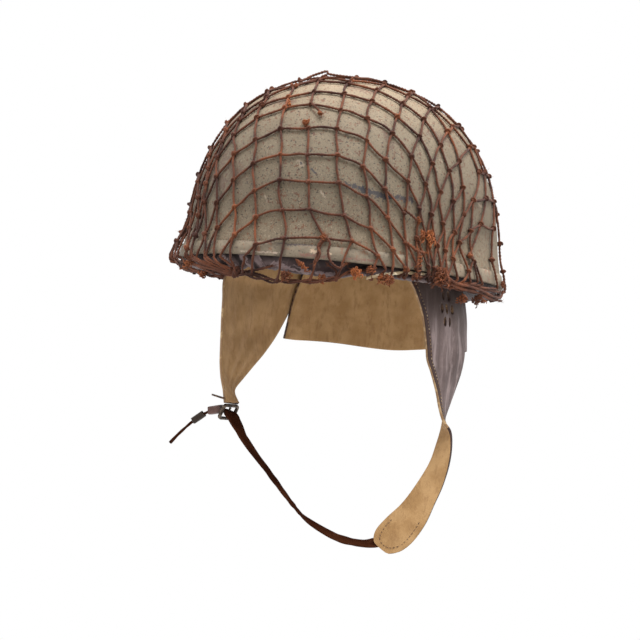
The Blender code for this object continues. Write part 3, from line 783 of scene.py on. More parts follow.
def hide_material(name, effects, dark, light, worn, roughness=0.5, pebble=900.0, crease=130.0,
                  depth=0.0005, gloss=0.3, shaded=None, streaks=0.0, marks=None):
    """Grained leather, darker along its grain and creases and rubbed pale; where given, painted
    shade towards the top, and on the brow painted shadows in the folds and painted highlights,
    partly rubbed wear, on their tops.
    """
    look = Look(name, roughness)
    hide = look.effect(effects["hide"], Pebble_scale=pebble, Crease_scale=crease)
    base = look.layer(look.mix(hide["Tone"], dark, light), hide["Rub"], 0.75, worn)
    base = look.layer(base, look.step(hide["Height"], 0.42, 0.62), 0.35,
                      tuple(0.45 * part for part in dark))
    if streaks:
        lines = look.noise(look.stretch(look.where, (1.0, 1.0, 0.09)), 150.0, 4.0, 0.6)
        base = look.layer(base, look.step(lines, 0.50, 0.66), streaks, worn)
        base = look.layer(base, look.step(lines, 0.46, 0.34), streaks, dark)
    # Painted shade: darker towards the top, where the leather runs up under the shell or the rim.
    if shaded:
        low, high, painted_shading = shaded
        base = look.layer(base, look.step(look.height(look.where), low, high), 0.85, painted_shading)
    # On the brow: painted shadows in the folds and painted highlights on their tops.
    for folds, strength, colour in marks or ():
        base = look.smears(base, effects["smear"], folds, strength, colour, brow_fold_top,
                           300.0, brow_fold_foot)
    dull = look.step(hide["Rub"], 0.0, 1.0, (roughness, roughness + 0.18))
    return look.finish(base, hide["Height"], depth, 0.7, Roughness=dull,
                       Specular_IOR_Level=gloss)


# Gathers of the brow pad, with painted shadows in the folds and painted highlights, partly rubbed
# wear, on the tops: two places in the picture, radius and raggedness in metres
FOLD_SHADOWS = (
    ((214, 252), (231, 269), 0.0016, 0.0010), ((234, 254), (247, 270), 0.0017, 0.0010),
    ((250, 255), (258, 270), 0.0017, 0.0010), ((262, 256), (270, 269), 0.0015, 0.0010),
    ((283, 262), (300, 270), 0.0008, 0.0014),
)
FOLD_TOPS = (
    ((221, 256), (236, 268), 0.0034, 0.0014), ((242, 257), (251, 268), 0.0034, 0.0014),
    ((257, 258), (264, 268), 0.0030, 0.0014), ((274, 264), (306, 272), 0.0022, 0.0022),
    ((306, 271), (338, 275), 0.0022, 0.0022),
)


def brow_fold_top(picture_x, picture_y):
    return beneath(picture_x, picture_y, -0.0045)


def brow_fold_foot(picture_x, picture_y):
    return beneath(picture_x, picture_y, -0.0060)


def suede_material():
    """The tan flesh side: napped, mottled and dirty in streaks."""
    look = Look("tan_suede", 0.95)
    place = look.where
    base = look.mix(look.patches(place, 60.0, 5.0, 0.6, 0.34, 0.66), (0.36, 0.205, 0.085),
                    (0.47, 0.285, 0.130))
    streaks = look.patches(look.stretch(place, (1.0, 1.0, 0.3)), 260.0, 5.0, 0.7, 0.50, 0.66)
    base = look.layer(base, streaks, 0.45, (0.25, 0.13, 0.055))
    nap = look.noise(place, 2300.0, 3.0, 0.7)
    base = look.layer(base, look.step(nap, 0.45, 0.25), 0.45, (0.22, 0.115, 0.05))
    base = look.layer(base, look.step(nap, 0.58, 0.75), 0.4, (0.58, 0.40, 0.22))
    return look.finish(base, nap, 0.0004, 0.6, Sheen_Weight=0.15, Sheen_Roughness=0.45,
                       Specular_IOR_Level=0.2)


def edge_material(name, dark, pale):
    """A cut leather edge or thread, with a pale core showing in places."""
    look = Look(name, 0.8)
    base = look.mix(look.patches(look.where, 150.0, 4.0, 0.6, 0.50, 0.62), dark, pale)
    fibres = look.noise(look.where, 1800.0, 3.0, 0.7)
    base = look.layer(base, look.step(fibres, 0.45, 0.25), 0.5, (0.03, 0.015, 0.01))
    return look.finish(base, fibres, 0.0004, 0.7)


def buckle_material():
    """Dull bronze-brown metal, bright on its rubbed tops."""
    look = Look("dull_buckle_metal", 0.4, Metallic=0.7)
    worn = look.patches(look.where, 420.0, 5.0, 0.7, 0.46, 0.62)
    return look.finish(look.mix(worn, (0.040, 0.026, 0.018), (0.150, 0.112, 0.080)),
                       look.noise(look.where, 1400.0), 0.0002, 0.5,
                       Roughness=look.step(worn, 0.0, 1.0, (0.62, 0.30)))


def felt_material():
    look = Look("crown_felt", 0.98)
    fibres = look.noise(look.where, 1600.0, 4.0, 0.7)
    return look.finish(look.mix(fibres, (0.05, 0.035, 0.025), (0.16, 0.12, 0.09)), fibres,
                       0.0008, 0.9)


def floor_material():
    look = Look("pale_floor", 0.9)
    tone = look.noise(look.where, 3.0, 2.0)
    look.feed(look.shader, "Base Color", look.mix(tone, (0.955, 0.955, 0.955),
                                                  (0.975, 0.975, 0.975)))
    return look.material


# Each look's name, then its colours from dark to bright
CORD_LOOKS = {
    "cord": ("rust_brown_cord", (0.034, 0.012, 0.008), (0.115, 0.038, 0.018),
             (0.215, 0.066, 0.024)),
    "knot": ("rust_orange_knots", (0.040, 0.013, 0.008), (0.120, 0.038, 0.017),
             (0.26, 0.076, 0.024)),
    "fray": ("frayed_fibre", (0.060, 0.018, 0.008), (0.21, 0.060, 0.018), (0.37, 0.108, 0.027)),
    # The hem cord is the cord darkened, as painted shade under the rim.
    "hem": ("shaded_hem_cord", (0.020, 0.007, 0.004), (0.080, 0.026, 0.013),
            (0.19, 0.056, 0.020)),
}
EDGE_LOOKS = {
    "tan edge": ("tan_cut_edge", (0.30, 0.175, 0.085), (0.50, 0.33, 0.17)),
    "edge": ("dark_cut_edge", (0.055, 0.026, 0.016), (0.26, 0.15, 0.07)),
    "raw edge": ("raw_cream_edge", (0.36, 0.26, 0.15), (0.62, 0.52, 0.37)),
    "thread": ("waxed_thread", (0.24, 0.15, 0.08), (0.50, 0.38, 0.24)),
    "dark thread": ("dark_thread", (0.13, 0.068, 0.038), (0.25, 0.145, 0.08)),
}
# Name, dark, light and worn colours, roughness, pebbles and creases a metre, bump depth and
# gloss, then the heights and colour of painted shade, the strength of streaks, and marks
HIDE_LOOKS = {
    # brow: painted shade near the rim, painted fold shadows and painted highlights on the fold
    # tops
    "brow": ("brow_leather", (0.064, 0.038, 0.036), (0.140, 0.096, 0.094), (0.27, 0.215, 0.20),
             0.5, 1100.0, 150.0, 0.0005, 0.25, (-0.0075, -0.0005, (0.012, 0.006, 0.005)), 0.0,
             ((FOLD_TOPS, 0.70, (0.33, 0.245, 0.24)), (FOLD_SHADOWS, 0.85, (0.014, 0.007, 0.006)))),
    "cap": ("cap_leather", (0.09, 0.055, 0.035), (0.17, 0.11, 0.075), (0.26, 0.19, 0.13), 0.6),
    # grain: painted shade towards the top of the harness, under the shell
    "grain": ("harness_grain", (0.085, 0.055, 0.050), (0.185, 0.132, 0.124),
              (0.34, 0.265, 0.255), 0.58, 820.0, 110.0, 0.0005, 0.3,
              (-0.052, -0.018, (0.050, 0.028, 0.022)), 0.6),
    "binding": ("dark_binding", (0.030, 0.013, 0.010), (0.062, 0.028, 0.022),
                (0.11, 0.058, 0.046), 0.5, 1300.0, 220.0, 0.0003),
    "strap": ("strap_grain", (0.030, 0.009, 0.005), (0.068, 0.022, 0.010),
              (0.085, 0.032, 0.016), 0.7, 1300.0, 90.0, 0.0001, 0.0),
    "keeper": ("keeper_leather", (0.075, 0.035, 0.028), (0.20, 0.105, 0.085),
               (0.36, 0.24, 0.19), 0.5, 1300.0, 240.0, 0.0003),
    "slide": ("dark_slide", (0.034, 0.024, 0.018), (0.085, 0.060, 0.045), (0.36, 0.22, 0.05),
              0.5, 1300.0, 90.0, 0.0002, 0.15),
}


def make_materials():
    effects = {"smear": smear_effect(), "hide": hide_effect(), "specks": specks_effect()}
    looks = {"paint": paint_material(effects), "inner paint": inner_paint_material(),
             "rim": rim_material(effects), "suede": suede_material(),
             "buckle": buckle_material(), "felt": felt_material(), "floor": floor_material()}
    for key, values in CORD_LOOKS.items():
        looks[key] = cord_material(*values)
    for key, values in EDGE_LOOKS.items():
        looks[key] = edge_material(*values)
    for key, (name, *values) in HIDE_LOOKS.items():
        looks[key] = hide_material(name, effects, *values)
    return looks


def make_shell(looks):
    """The dome, smooth and slightly uneven as pressed sheet is."""
    rings, segments = 64, 160
    points = []
    for ring in range(rings):
        rise = math.sin(0.5 * math.pi * ring / rings)
        level = math.cos(0.5 * math.pi * ring / rings)
        share = rise ** (2.0 / DOME_POWER)
        out = level ** (2.0 / DOME_POWER) * float(lip_factor(share))
        for segment in range(segments):
            angle = math.tau * segment / segments
            dent = SHELL_DENTS * math.sin(3.0 * angle + 1.0) * math.sin(7.0 * share + 0.5)
            points.append(((RIM_HALF_WIDTH * out - dent) * math.cos(angle),
                           (RIM_HALF_LENGTH * out - dent) * math.sin(angle)
                           - CROWN_FORWARD * share, DOME_HEIGHT * share))
    mesh = domed_mesh("steel_shell", points, (0.0, -CROWN_FORWARD, DOME_HEIGHT), rings, segments)
    shell = add_piece("steel_shell", mesh, [looks["paint"], looks["inner paint"]],
                      ["shell"])
    solidify(shell, SHELL_WALL, -1.0, 1, 0)


def make_rim(looks):
    """The folded strip, with rolled corners and small dents along its edge."""
    outer = FIT_GAP + RIM_STRIP
    inner = -SHELL_WALL - FIT_GAP - RIM_STRIP
    floor = -FIT_GAP
    roll = RIM_STRIP * 0.45
    corners = ((outer - roll, RIM_HEIGHT), (outer, RIM_HEIGHT - roll), (outer, RIM_HEIGHT * 0.5),
               (outer, floor), (outer - roll * 0.6, floor - RIM_STRIP * 0.7),
               (outer - roll * 2.0, floor - RIM_STRIP), (inner + roll * 2.0, floor - RIM_STRIP),
               (inner + roll * 0.6, floor - RIM_STRIP * 0.7), (inner, floor),
               (inner, RIM_HEIGHT), (inner + RIM_STRIP, RIM_HEIGHT), (inner + RIM_STRIP, floor),
               (outer - RIM_STRIP, floor), (outer - RIM_STRIP, RIM_HEIGHT))
    steps = 288
    chance = random.Random(7)
    waves = [(chance.uniform(5.0, 37.0), chance.uniform(0.0, math.tau)) for _ in range(7)]
    points = []
    for step in range(steps):
        angle = math.tau * step / steps
        wave = sum(math.sin(round(rate) * angle + phase) for rate, phase in waves) / 7.0
        for offset, height in corners:
            lift = RIM_TOP_WAVE if height > RIM_HEIGHT * 0.8 else RIM_FOOT_WAVE
            points.append(wall_point(angle, height + lift * wave, offset))
    mesh = ring_mesh("folded_rim", points, steps, len(corners))
    mesh.set_sharp_from_angle(angle=math.radians(50))
    add_piece("folded_rim", mesh, [looks["rim"]], ["rim"])


def march_strand(start, heading):
    """Knots one mesh apart along the dome in an upright plane."""
    sideways = np.array((heading[1], -heading[0], 0.0))
    knots = [start]
    before = heading
    for _ in range(NET_REACH):
        last = knots[-1]
        slope = dome_slope(last[None, :], NET_STAND_OFF)[0]
        along = np.cross(sideways, slope / np.linalg.norm(slope))
        if along @ before < 0.0:
            along = -along
        point = last + along * NET_MESH
        for _ in range(10):
            away = point - last
            rows = np.stack((2.0 * away, sideways,
                             dome_slope(point[None, :], NET_STAND_OFF)[0] * 0.01))
            values = np.array((NET_MESH ** 2 - away @ away, -away @ sideways,
                               -dome_value(point[None, :], NET_STAND_OFF)[0] * 0.01))
            point = point + np.linalg.solve(rows, values)
        before = point - last
        knots.append(point)
        if point[2] < -NET_MESH * NET_SKIRT:
            break
    return knots


def next_knot(beside, above, across):
    """The knot one mesh from two neighbours, opposite the third."""
    point = beside + above - across
    for _ in range(12):
        rows = np.stack((2.0 * (point - beside), 2.0 * (point - above),
                         dome_slope(point[None, :], NET_STAND_OFF)[0] * 0.01))
        values = np.array((NET_MESH ** 2 - ((point - beside) ** 2).sum(),
                           NET_MESH ** 2 - ((point - above) ** 2).sum(),
                           -dome_value(point[None, :], NET_STAND_OFF)[0] * 0.01))
        if abs(np.linalg.det(rows)) < 1e-14:
            return None
        move = np.linalg.solve(rows, values)
        size = np.linalg.norm(move)
        point = point + move * min(1.0, NET_MESH / max(size, 1e-12))
        if size < 1e-7:
            break
    if np.linalg.norm(point - across) < NET_MESH * 0.25:
        return None
    return point


def net_knots():
    """Knots of a square mesh draped over the dome with every cord length kept."""
    turn = math.radians(NET_TURN_DEG)
    first = np.array((math.cos(turn), math.sin(turn), 0.0))
    second = np.array((-math.sin(turn), math.cos(turn), 0.0))
    start = onto_dome([(NET_START[0], NET_START[1], DOME_HEIGHT)], NET_STAND_OFF, 8)[0]
    knots = {}
    for sign in (1, -1):
        for step, point in enumerate(march_strand(start, first * sign)):
            knots[(sign * step, 0)] = point
        for step, point in enumerate(march_strand(start, second * sign)):
            knots[(0, sign * step)] = point
    for sign_i in (1, -1):
        for sign_j in (1, -1):
            for i in range(1, NET_REACH + 1):
                for j in range(1, NET_REACH + 1):
                    names = ((sign_i * (i - 1), sign_j * j), (sign_i * i, sign_j * (j - 1)),
                             (sign_i * (i - 1), sign_j * (j - 1)))
                    if not all(name in knots for name in names):
                        continue
                    beside, above, across = (knots[name] for name in names)
                    if min(beside[2], above[2]) < -NET_MESH * NET_SKIRT:
                        continue
                    knot = next_knot(beside, above, across)
                    if knot is not None:
                        knots[(sign_i * i, sign_j * j)] = knot
    return knots


# Where the knots that face the camera sit, as places in the picture
SEEN_KNOTS = {
    (-1, -10): (325, 237), (-4, -9): (233, 234), (-3, -10): (255, 244),
    (-2, -10): (283, 238), (0, -10): (351, 241), (1, -10): (378, 256), (-3, -9): (254, 216),
    (-2, -9): (282, 210), (-1, -9): (311, 209), (0, -9): (343, 213), (1, -9): (371, 227),
    (2, -9): (393, 250), (-5, -8): (216, 227), (-4, -8): (232, 207), (-3, -8): (253, 189),
    (-2, -8): (280, 179), (-1, -8): (308, 180), (0, -8): (339, 182), (1, -8): (366, 196),
    (2, -8): (389, 218), (3, -8): (407, 243), (-5, -7): (215, 201), (-4, -7): (232, 179),
    (-3, -7): (252, 162), (-2, -7): (279, 153), (-1, -7): (307, 152), (0, -7): (338, 153),
    (1, -7): (364, 167), (2, -7): (386, 187), (3, -7): (406, 211), (-6, -6): (202, 201),
    (-5, -6): (214, 176), (-4, -6): (232, 153), (-3, -6): (254, 137), (-2, -6): (280, 127),
    (-1, -6): (308, 126), (0, -6): (338, 127), (1, -6): (367, 139), (2, -6): (388, 158),
    (3, -6): (409, 181), (4, -6): (422, 208), (-5, -5): (215, 156), (-4, -5): (232, 134),
    (-3, -5): (255, 116), (-2, -5): (283, 106), (-1, -5): (311, 102), (0, -5): (341, 107),
    (1, -5): (369, 117), (2, -5): (394, 132), (3, -5): (414, 156), (4, -5): (428, 183),
    (5, -5): (434, 214), (-4, -4): (238, 118), (-3, -4): (261, 102), (-2, -4): (287, 95),
    (-1, -4): (315, 89), (0, -4): (345, 91), (1, -4): (373, 99), (2, -4): (398, 114),
    (3, -4): (421, 135), (4, -4): (435, 163), (5, -4): (443, 192), (6, -4): (445, 223),
    (-5, -3): (224, 129), (-4, -3): (242, 110), (-3, -3): (265, 95), (-1, -3): (319, 78),
    (2, -3): (405, 101), (3, -3): (426, 118), (4, -3): (443, 144), (5, -3): (452, 170),
    (6, -3): (455, 201), (7, -3): (456, 233), (8, -3): (454, 259), (-2, -2): (295, 83),
    (0, -2): (352, 78), (1, -2): (385, 82), (2, -2): (410, 93), (3, -2): (432, 106),
    (5, -2): (461, 159), (6, -2): (466, 187), (7, -2): (466, 214), (8, -2): (462, 243),
    (3, -1): (436, 107), (4, -1): (455, 125), (5, -1): (472, 147), (6, -1): (481, 171),
    (7, -1): (476, 200), (8, -1): (473, 231), (8, 0): (483, 224), (9, 0): (472, 255),
}


def settled_knots():
    """The draped net, pulled to where its knots were seen, and its neighbours with them."""
    knots = net_knots()
    names = list(SEEN_KNOTS)
    shifts = [np.array(on_shell(*SEEN_KNOTS[name], NET_STAND_OFF)) - knots[name] for name in names]
    places = np.array(names, dtype=float)
    shifts = np.array(shifts)
    settled = {}
    for name, knot in knots.items():
        away = np.maximum(((places - np.array(name)) ** 2).sum(axis=1), 1e-6)
        weights = 1.0 / away ** 1.5
        shift = (shifts * weights[:, None]).sum(axis=0) / weights.sum()
        shift *= math.exp(-away.min() / 14.0)
        settled[name] = onto_dome([knot + shift], NET_STAND_OFF)[0]
    return settled


def net_lift(points):
    """How far the cords stand off the shell: more over the rim and at the loose left hem."""
    heights = points[:, 2]
    over_rim = np.clip((RIM_HEIGHT + 0.012 - heights) / 0.014, 0.0, 1.0)
    lift = CORD_LIFT + (RIM_LIFT - CORD_LIFT) * over_rim * over_rim * (3.0 - 2.0 * over_rim)
    turn = math.radians(VIEW_TURN_DEG)
    left = -points[:, 0] * math.cos(turn) - points[:, 1] * math.sin(turn)
    loose = np.clip((left - 0.105) / 0.025, 0.0, 1.0)
    loose *= np.clip((0.034 - heights) / 0.034, 0.0, 1.0)
    return lift + LOOSE_LIFT * loose


def drape(points):
    """Lay points on the shell and the rim, each as far off as the net stands there."""
    points = onto_dome(points, 0.0, 3)
    return points + outward(points) * net_lift(points)[:, None]


def in_picture(point):
    """Where a point falls in the 640 by 640 picture."""
    place, right, up, forward = view_axes()
    away = Vector(point) - place
    scale = PICTURE_FOCUS / away.dot(forward)
    half = PICTURE_SIZE / 2.0
    return half + away.dot(right) * scale, half - away.dot(up) * scale


def faces_view(point):
    place = view_axes()[0]
    slope = Vector(outward([tuple(point)])[0])
    return slope.dot(place - Vector(point)) > 0.0


# Cords that are worn through, by the knots at their two ends
WORN_THROUGH = (((-1, -6), (-1, -5)), ((3, -7), (4, -7)))


def strand_chains(knots):
    """Runs of knots along each cord, in both directions of the net."""
    chains = []
    for family in (0, 1):
        for fixed in range(-NET_REACH, NET_REACH + 1):
            run = []
            for free in range(-NET_REACH, NET_REACH + 2):
                name = (free, fixed) if family == 0 else (fixed, free)
                knot = knots.get(name)
                if knot is not None and (not run or np.linalg.norm(knot - run[-1][1]) < 0.035):
                    run.append((name, knot))
                    continue
                if len(run) > 1:
                    chains.append((family, run))
                run = [(name, knot)] if knot is not None else []
    return chains


def cord_route(start, end, chance):
    """Points along one side of a mesh, a little slack and not quite straight."""
    steps = max(4, int(np.linalg.norm(end - start) / CORD_STEP))
    share = np.linspace(0.0, 1.0, steps + 1)[:, None]
    points = start + (end - start) * share
    sideways = np.cross(end - start, outward([(start + end) / 2.0])[0])
    sideways /= max(np.linalg.norm(sideways), 1e-9)
    bow = chance.gauss(0.0, 0.0008)
    wave = chance.gauss(0.0, 0.00035)
    points += sideways * (bow * np.sin(math.pi * share) + wave * np.sin(math.tau * share))
    return points


# Where the hem is drawn together: a stretch of the rim in the picture, and the place that its
# cords run to
HEM_BUNDLES = ((165, 236, 238), (446, 510, 452))

# How low the near side of the hem hangs, as places in the picture
HEM_LINE = ((160, 257), (172, 262), (185, 268), (205, 272), (233, 272), (248, 272), (260, 275),
            (273, 279), (287, 281), (303, 282), (320, 282), (333, 279), (345, 275), (360, 274),
            (380, 277), (404, 275), (428, 278), (446, 284), (470, 290), (490, 296), (505, 297))
HEM_REST = 0.0080
# The stretch of the near rim where the hem is tucked in, as columns of the picture: where it
# begins, is full, starts to fade and ends
HEM_TUCKED = (338, 362, 428, 448)


def hem_drop(rim):
    """How far the net's hem hangs below a point of the rim."""
    if not faces_view(rim):
        return HEM_REST
    picture_x, picture_y = in_picture(rim)
    low = np.interp(picture_x, [place[0] for place in HEM_LINE], [place[1] for place in HEM_LINE])
    return max(HEM_REST * 0.7, (low - picture_y) * VIEW_DISTANCE / PICTURE_FOCUS)


def hem_tail(points, chance):
    """The end of a cord turned under the rim and gathered into the hem."""
    last = points[-1]
    tail = [last]
    angle = math.atan2(last[1] / RIM_HALF_LENGTH, last[0] / RIM_HALF_WIDTH)
    rim = wall_point(angle, 0.0, 0.0)
    picture_x = in_picture(rim)[0]
    drop = hem_drop(rim) * chance.uniform(0.86, 1.12)
    swing = chance.uniform(-0.03, 0.03)
    steps = 9
    if faces_view(rim):
        for low, high, target in HEM_BUNDLES:
            if low < picture_x < high:
                goal = beneath(target, in_picture(rim)[1], 0.0)
                swing = math.atan2(goal[1] / RIM_HALF_LENGTH, goal[0] / RIM_HALF_WIDTH) - angle
                swing *= chance.uniform(0.72, 1.05)
                drop = hem_drop(wall_point(angle + swing, 0.0, 0.0)) * chance.uniform(0.72, 1.12)
                steps = 16
    start_height = float(last[2])
    for step in range(1, steps + 1):
        share = step / steps
        sweep = ease(share, 0.0, 1.0)
        offset = 0.0032 - 0.0062 * share + 0.0009 * math.sin(7.0 * share + drop * 4000.0)
        point = wall_point(angle + swing * sweep, 0.0, offset)
        height = start_height - (drop + start_height) * min(1.0, share * 1.25)
        tail.append(point + upright(height))
    return tail


def make_net(looks, knots):
    """Every cord of the net, laid through its knots. Gives the knots and the hem's points."""
    chance = random.Random(19)
    jitter = {}
    for name, knot in knots.items():
        jitter[name] = knot + np.array([chance.gauss(0.0, 0.0006) for _ in range(3)])
    cords = (TubeSet(), TubeSet())
    hem_points = []
    for family, run in strand_chains(knots):
        route = []
        for (name, _), (after, _) in zip(run, run[1:]):
            start, end = jitter[name], jitter[after]
            below = max(start[2], end[2]) < -HEM_DROP
            points = [] if below else cord_route(start, end, chance)
            if below or (name, after) in WORN_THROUGH:
                lay_cord(cords[family], route, hem_points, chance)
                route = []
            else:
                route.extend(points[1:] if route else points)
        lay_cord(cords[family], route, hem_points, chance)
    for family, name in ((0, "net_cords_across"), (1, "net_cords_along")):
        cords[family].piece(name, looks["cord"], "net_cord", ["net"])
    return jitter, hem_points


def lay_cord(tubes, route, hem_points, chance):
    """One cord above the hem, with its ends turned under the rim."""
    above = [index for index, point in enumerate(route) if point[2] > -HEM_DROP]
    if len(above) < 3:
        return
    first, last = above[0], above[-1]
    points = list(drape(route[first:last + 1]))
    if first > 0:
        tail = hem_tail(points[::-1], chance)
        points = tail[:0:-1] + points
        hem_points.append(tail[-2])
    if last < len(route) - 1:
        tail = hem_tail(points, chance)
        points = points + tail[1:]
        hem_points.append(tail[-2])
    radii = [CORD_RADIUS * (1.0 + 0.10 * math.sin(0.9 * index + len(points)))
             for index in range(len(points))]
    tubes.add(points, radii, CORD_SIDES, CORD_TWIST, CORD_PLY)


def make_knots(looks, jitter):
    """Each knot is a lumpy ball with a turn of cord drawn over it."""
    chance = random.Random(23)
    balls = TubeSet()
    for name, knot in jitter.items():
        if knot[2] < -HEM_DROP * 0.5:
            continue
        centre = Vector(drape([knot])[0])
        normal = Vector(outward([knot])[0])
        centre += normal * 0.0003
        near = [Vector(jitter[other]) - Vector(knot) for other in
                ((name[0] + 1, name[1]), (name[0], name[1] + 1)) if other in jitter]
        along = (near[0] if near else normal.orthogonal()).copy()
        along = (along - normal * along.dot(normal)).normalized()
        across = normal.cross(along)
        size = chance.uniform(0.88, 1.18)
        balls.blob(centre, (along, across, normal),
                   [radius * size for radius in KNOT_RADII], KNOT_LUMPS, chance)
        lean = chance.uniform(0.4, 1.1)
        wrap = []
        for step in range(9):
            angle = math.tau * (step / 8.0) * 0.72 + lean
            wrap.append(centre + normal * (0.0021 * size * math.sin(angle))
                        + around(along, across, lean) * (0.0021 * size * math.cos(angle))
                        + across * (0.0006 * (step - 4) / 4.0))
        balls.add(wrap, CORD_RADIUS * 0.72, 6)
    balls.piece("net_knots", looks["knot"], "net_cord", ["net"])


def tuft(tubes, centre, direction, count, length, spread, chance, radius=0.00013, curled=0.45):
    """A frayed bunch: fibres that start together and part as they go."""
    centre = Vector(centre)
    direction = Vector(direction).normalized()
    for _ in range(count):
        heading = (direction + scatter(chance, spread)).normalized()
        curl = scatter(chance, 0.5)
        size = length * chance.uniform(0.45, 1.15)
        start = centre + scatter(chance, 0.0005)
        shares = [step / 5.0 for step in range(6)]
        route = [start + heading * size * share + curl * size * curled * share * share
                 for share in shares]
        tubes.add(route, [radius * (1.15 - 0.85 * share) for share in shares], 3)


def clump(tubes, centre, direction, count, length, width, chance):
    """A matted bunch of untwisted plies, each curled on itself."""
    centre = Vector(centre)
    direction = Vector(direction).normalized()
    side = direction.orthogonal().normalized()
    other = direction.cross(side)
    for _ in range(count):
        angle = chance.uniform(0.0, math.tau)
        out = chance.uniform(0.15, 1.0) * width
        size = length * chance.uniform(0.35, 1.05)
        away = around(side, other, angle) * out
        start = centre + away * 0.6 + scatter(chance, 0.0006)
        end = start + direction * size + away * 0.4
        turns = chance.uniform(1.5, 3.6)
        coil = chance.uniform(0.0006, 0.0015)
        phase = chance.uniform(0.0, math.tau)
        route = []
        for step in range(21):
            share = step / 20.0
            swirl = around(side, other, math.tau * turns * share + phase)
            route.append(start.lerp(end, share) + swirl * coil * min(1.0, 2.5 * share))
        radii = [0.00042 * (1.0 + 0.2 * math.sin(2.0 * step + phase)) for step in range(19)]
        tubes.add(route, radii + [0.0004, 0.0002], 5)


# Frayed bunches of cord: upper end and lower end in the picture, how wide they spread in
# metres, number of plies, and height off the shell's wall in metres
PICTURE_CLUMPS = (
    ((306, 125), (305, 119), 0.0030, 7, 0.0022), ((423, 231), (421, 246), 0.0030, 9, 0.0046),
    ((430, 231), (432, 250), 0.0040, 13, 0.0050), ((420, 254), (417, 271), 0.0022, 7, 0.0052),
    ((417, 273), (416, 281), 0.0032, 10, 0.0040), ((440, 268), (438, 288), 0.0090, 64, 0.0030),
    ((387, 275), (386, 287), 0.0068, 26, 0.0010), ((353, 269), (359, 279), 0.0046, 18, 0.0010),
    ((371, 267), (371, 274), 0.0042, 14, 0.0010), ((406, 267), (406, 272), 0.0022, 6, 0.0030),
    ((297, 260), (309, 271), 0.0018, 8, 0.0010), ((284, 272), (288, 282), 0.0044, 18, 0.0),
    ((322, 275), (322, 284), 0.0024, 7, -0.0010), ((419, 217), (419, 222), 0.0012, 4, 0.0030),
    ((462, 296), (464, 303), 0.0050, 12, -0.0010), ((476, 297), (480, 303), 0.0060, 13, -0.0010),
    ((503, 287), (505, 280), 0.0026, 7, 0.0040), ((190, 262), (182, 266), 0.0036, 9, 0.0040),
    ((206, 272), (201, 277), 0.0034, 9, -0.0010), ((320, 112), (322, 115), 0.0010, 4, 0.0026),
    ((326, 236), (321, 241), 0.0026, 7, 0.0036), ((289, 105), (289, 101), 0.0012, 3, 0.0024),
)


def make_fray(looks, jitter):
    chance = random.Random(31)
    fibres = TubeSet()
    for first, last, spread, count, lift in PICTURE_CLUMPS:
        place = beneath if first[1] > 255.0 else on_shell
        start, end = place(*first, lift), place(*last, lift)
        clump(fibres, start, end - start, count, (end - start).length, spread, chance)
        tuft(fibres, start, end - start, count * 2, min((end - start).length, 0.004), 0.45,
             chance, 0.00014, 0.6)
    for name, knot in jitter.items():
        if knot[2] < 0.0:
            continue
        normal = outward([knot])[0]
        centre = drape([knot])[0] + normal * 0.0010
        if chance.random() < 0.55:
            away = Vector(normal) + scatter(chance, 0.8)
            tuft(fibres, centre, away, chance.randint(2, 6), chance.uniform(0.0018, 0.0042), 0.6,
                 chance, 0.00010)
        for other in ((name[0] + 1, name[1]), (name[0], name[1] + 1)):
            if other not in jitter or jitter[other][2] < 0.0:
                continue
            for _ in range(3):
                share = chance.uniform(0.08, 0.92)
                point = drape([knot + (jitter[other] - knot) * share])[0]
                away = Vector(outward([point])[0]) + scatter(chance, 1.1)
                tuft(fibres, point, away, 1, chance.uniform(0.0014, 0.0032), 0.3, chance, 0.00009)
    fibres.piece("net_frayed_fibres", looks["fray"], "net_cord", ["net"])


# Loose cords by places in the picture and their height off the shell's wall in metres
LOOSE_CORDS = {
    "crown_loop": (((300, 82), 0.0022), ((312, 76), 0.0040), ((322, 72.5), 0.0062),
                   ((327, 71.5), 0.0066), ((329, 74), 0.0050), ((341, 76), 0.0040),
                   ((354, 77.5), 0.0034), ((370, 79), 0.0026), ((384, 82), 0.0020)),
    "worn_tail": (((311, 102.4), 0.0030), ((314, 105.5), 0.0034), ((318, 109.5), 0.0030),
                  ((321.3, 113.2), 0.0026)),
    "worn_side": (((406, 211), 0.0030), ((410, 214), 0.0036), ((414, 217.5), 0.0036),
                  ((417, 220.3), 0.0030)),
    "hanging_tail": (((418, 250), 0.0050), ((418.6, 258), 0.0052), ((417.6, 266), 0.0052),
                     ((418, 273), 0.0050), ((416.8, 281), 0.0046)),
    "tangle_left": (((325, 236), 0.0036), ((321, 241), 0.0046), ((318, 247), 0.0042),
                    ((320, 254), 0.0050), ((316, 262), 0.0046)),
    "tangle_right": (((325, 236), 0.0036), ((330, 243), 0.0046), ((328, 252), 0.0044),
                     ((331, 262), 0.0046), ((339, 268), 0.0042), ((345, 264), 0.0040)),
    "thick_fray": (((407, 243), 0.0030), ((412, 247), 0.0040), ((417, 251), 0.0048),
                   ((424, 253), 0.0046)),
    "hem_left": (((173, 255), 0.0052), ((177, 263), 0.0040), ((186, 269), 0.0010),
                 ((200, 272), -0.0030), ((218, 272), -0.0052), ((233, 271), -0.0066),
                 ((248, 272), -0.0060), ((261, 275), -0.0060), ((274, 280), -0.0060),
                 ((290, 282), -0.0060), ((306, 281), -0.0060), ((322, 281), -0.0060),
                 ((333, 279), -0.0056), ((336.5, 272), -0.0040), ((330, 266), -0.0020)),
    "hem_left_low": (((182, 266), 0.0030), ((196, 270), -0.0010), ((212, 276), -0.0040),
                     ((226, 275), -0.0060), ((240, 272), -0.0064), ((256, 270), -0.0050),
                     ((272, 266), -0.0036)),
    "hem_right": (((446, 276), 0.0030), ((456, 283), 0.0026), ((468, 286), 0.0022),
                  ((480, 290), 0.0024), ((492, 296), 0.0030), ((500, 298), 0.0034),
                  ((503, 291), 0.0040)),
    "hem_right_low": (((450, 284), 0.0010), ((462, 289), 0.0010), ((476, 292), 0.0010),
                      ((490, 299), 0.0020), ((501, 301), 0.0030)),
}


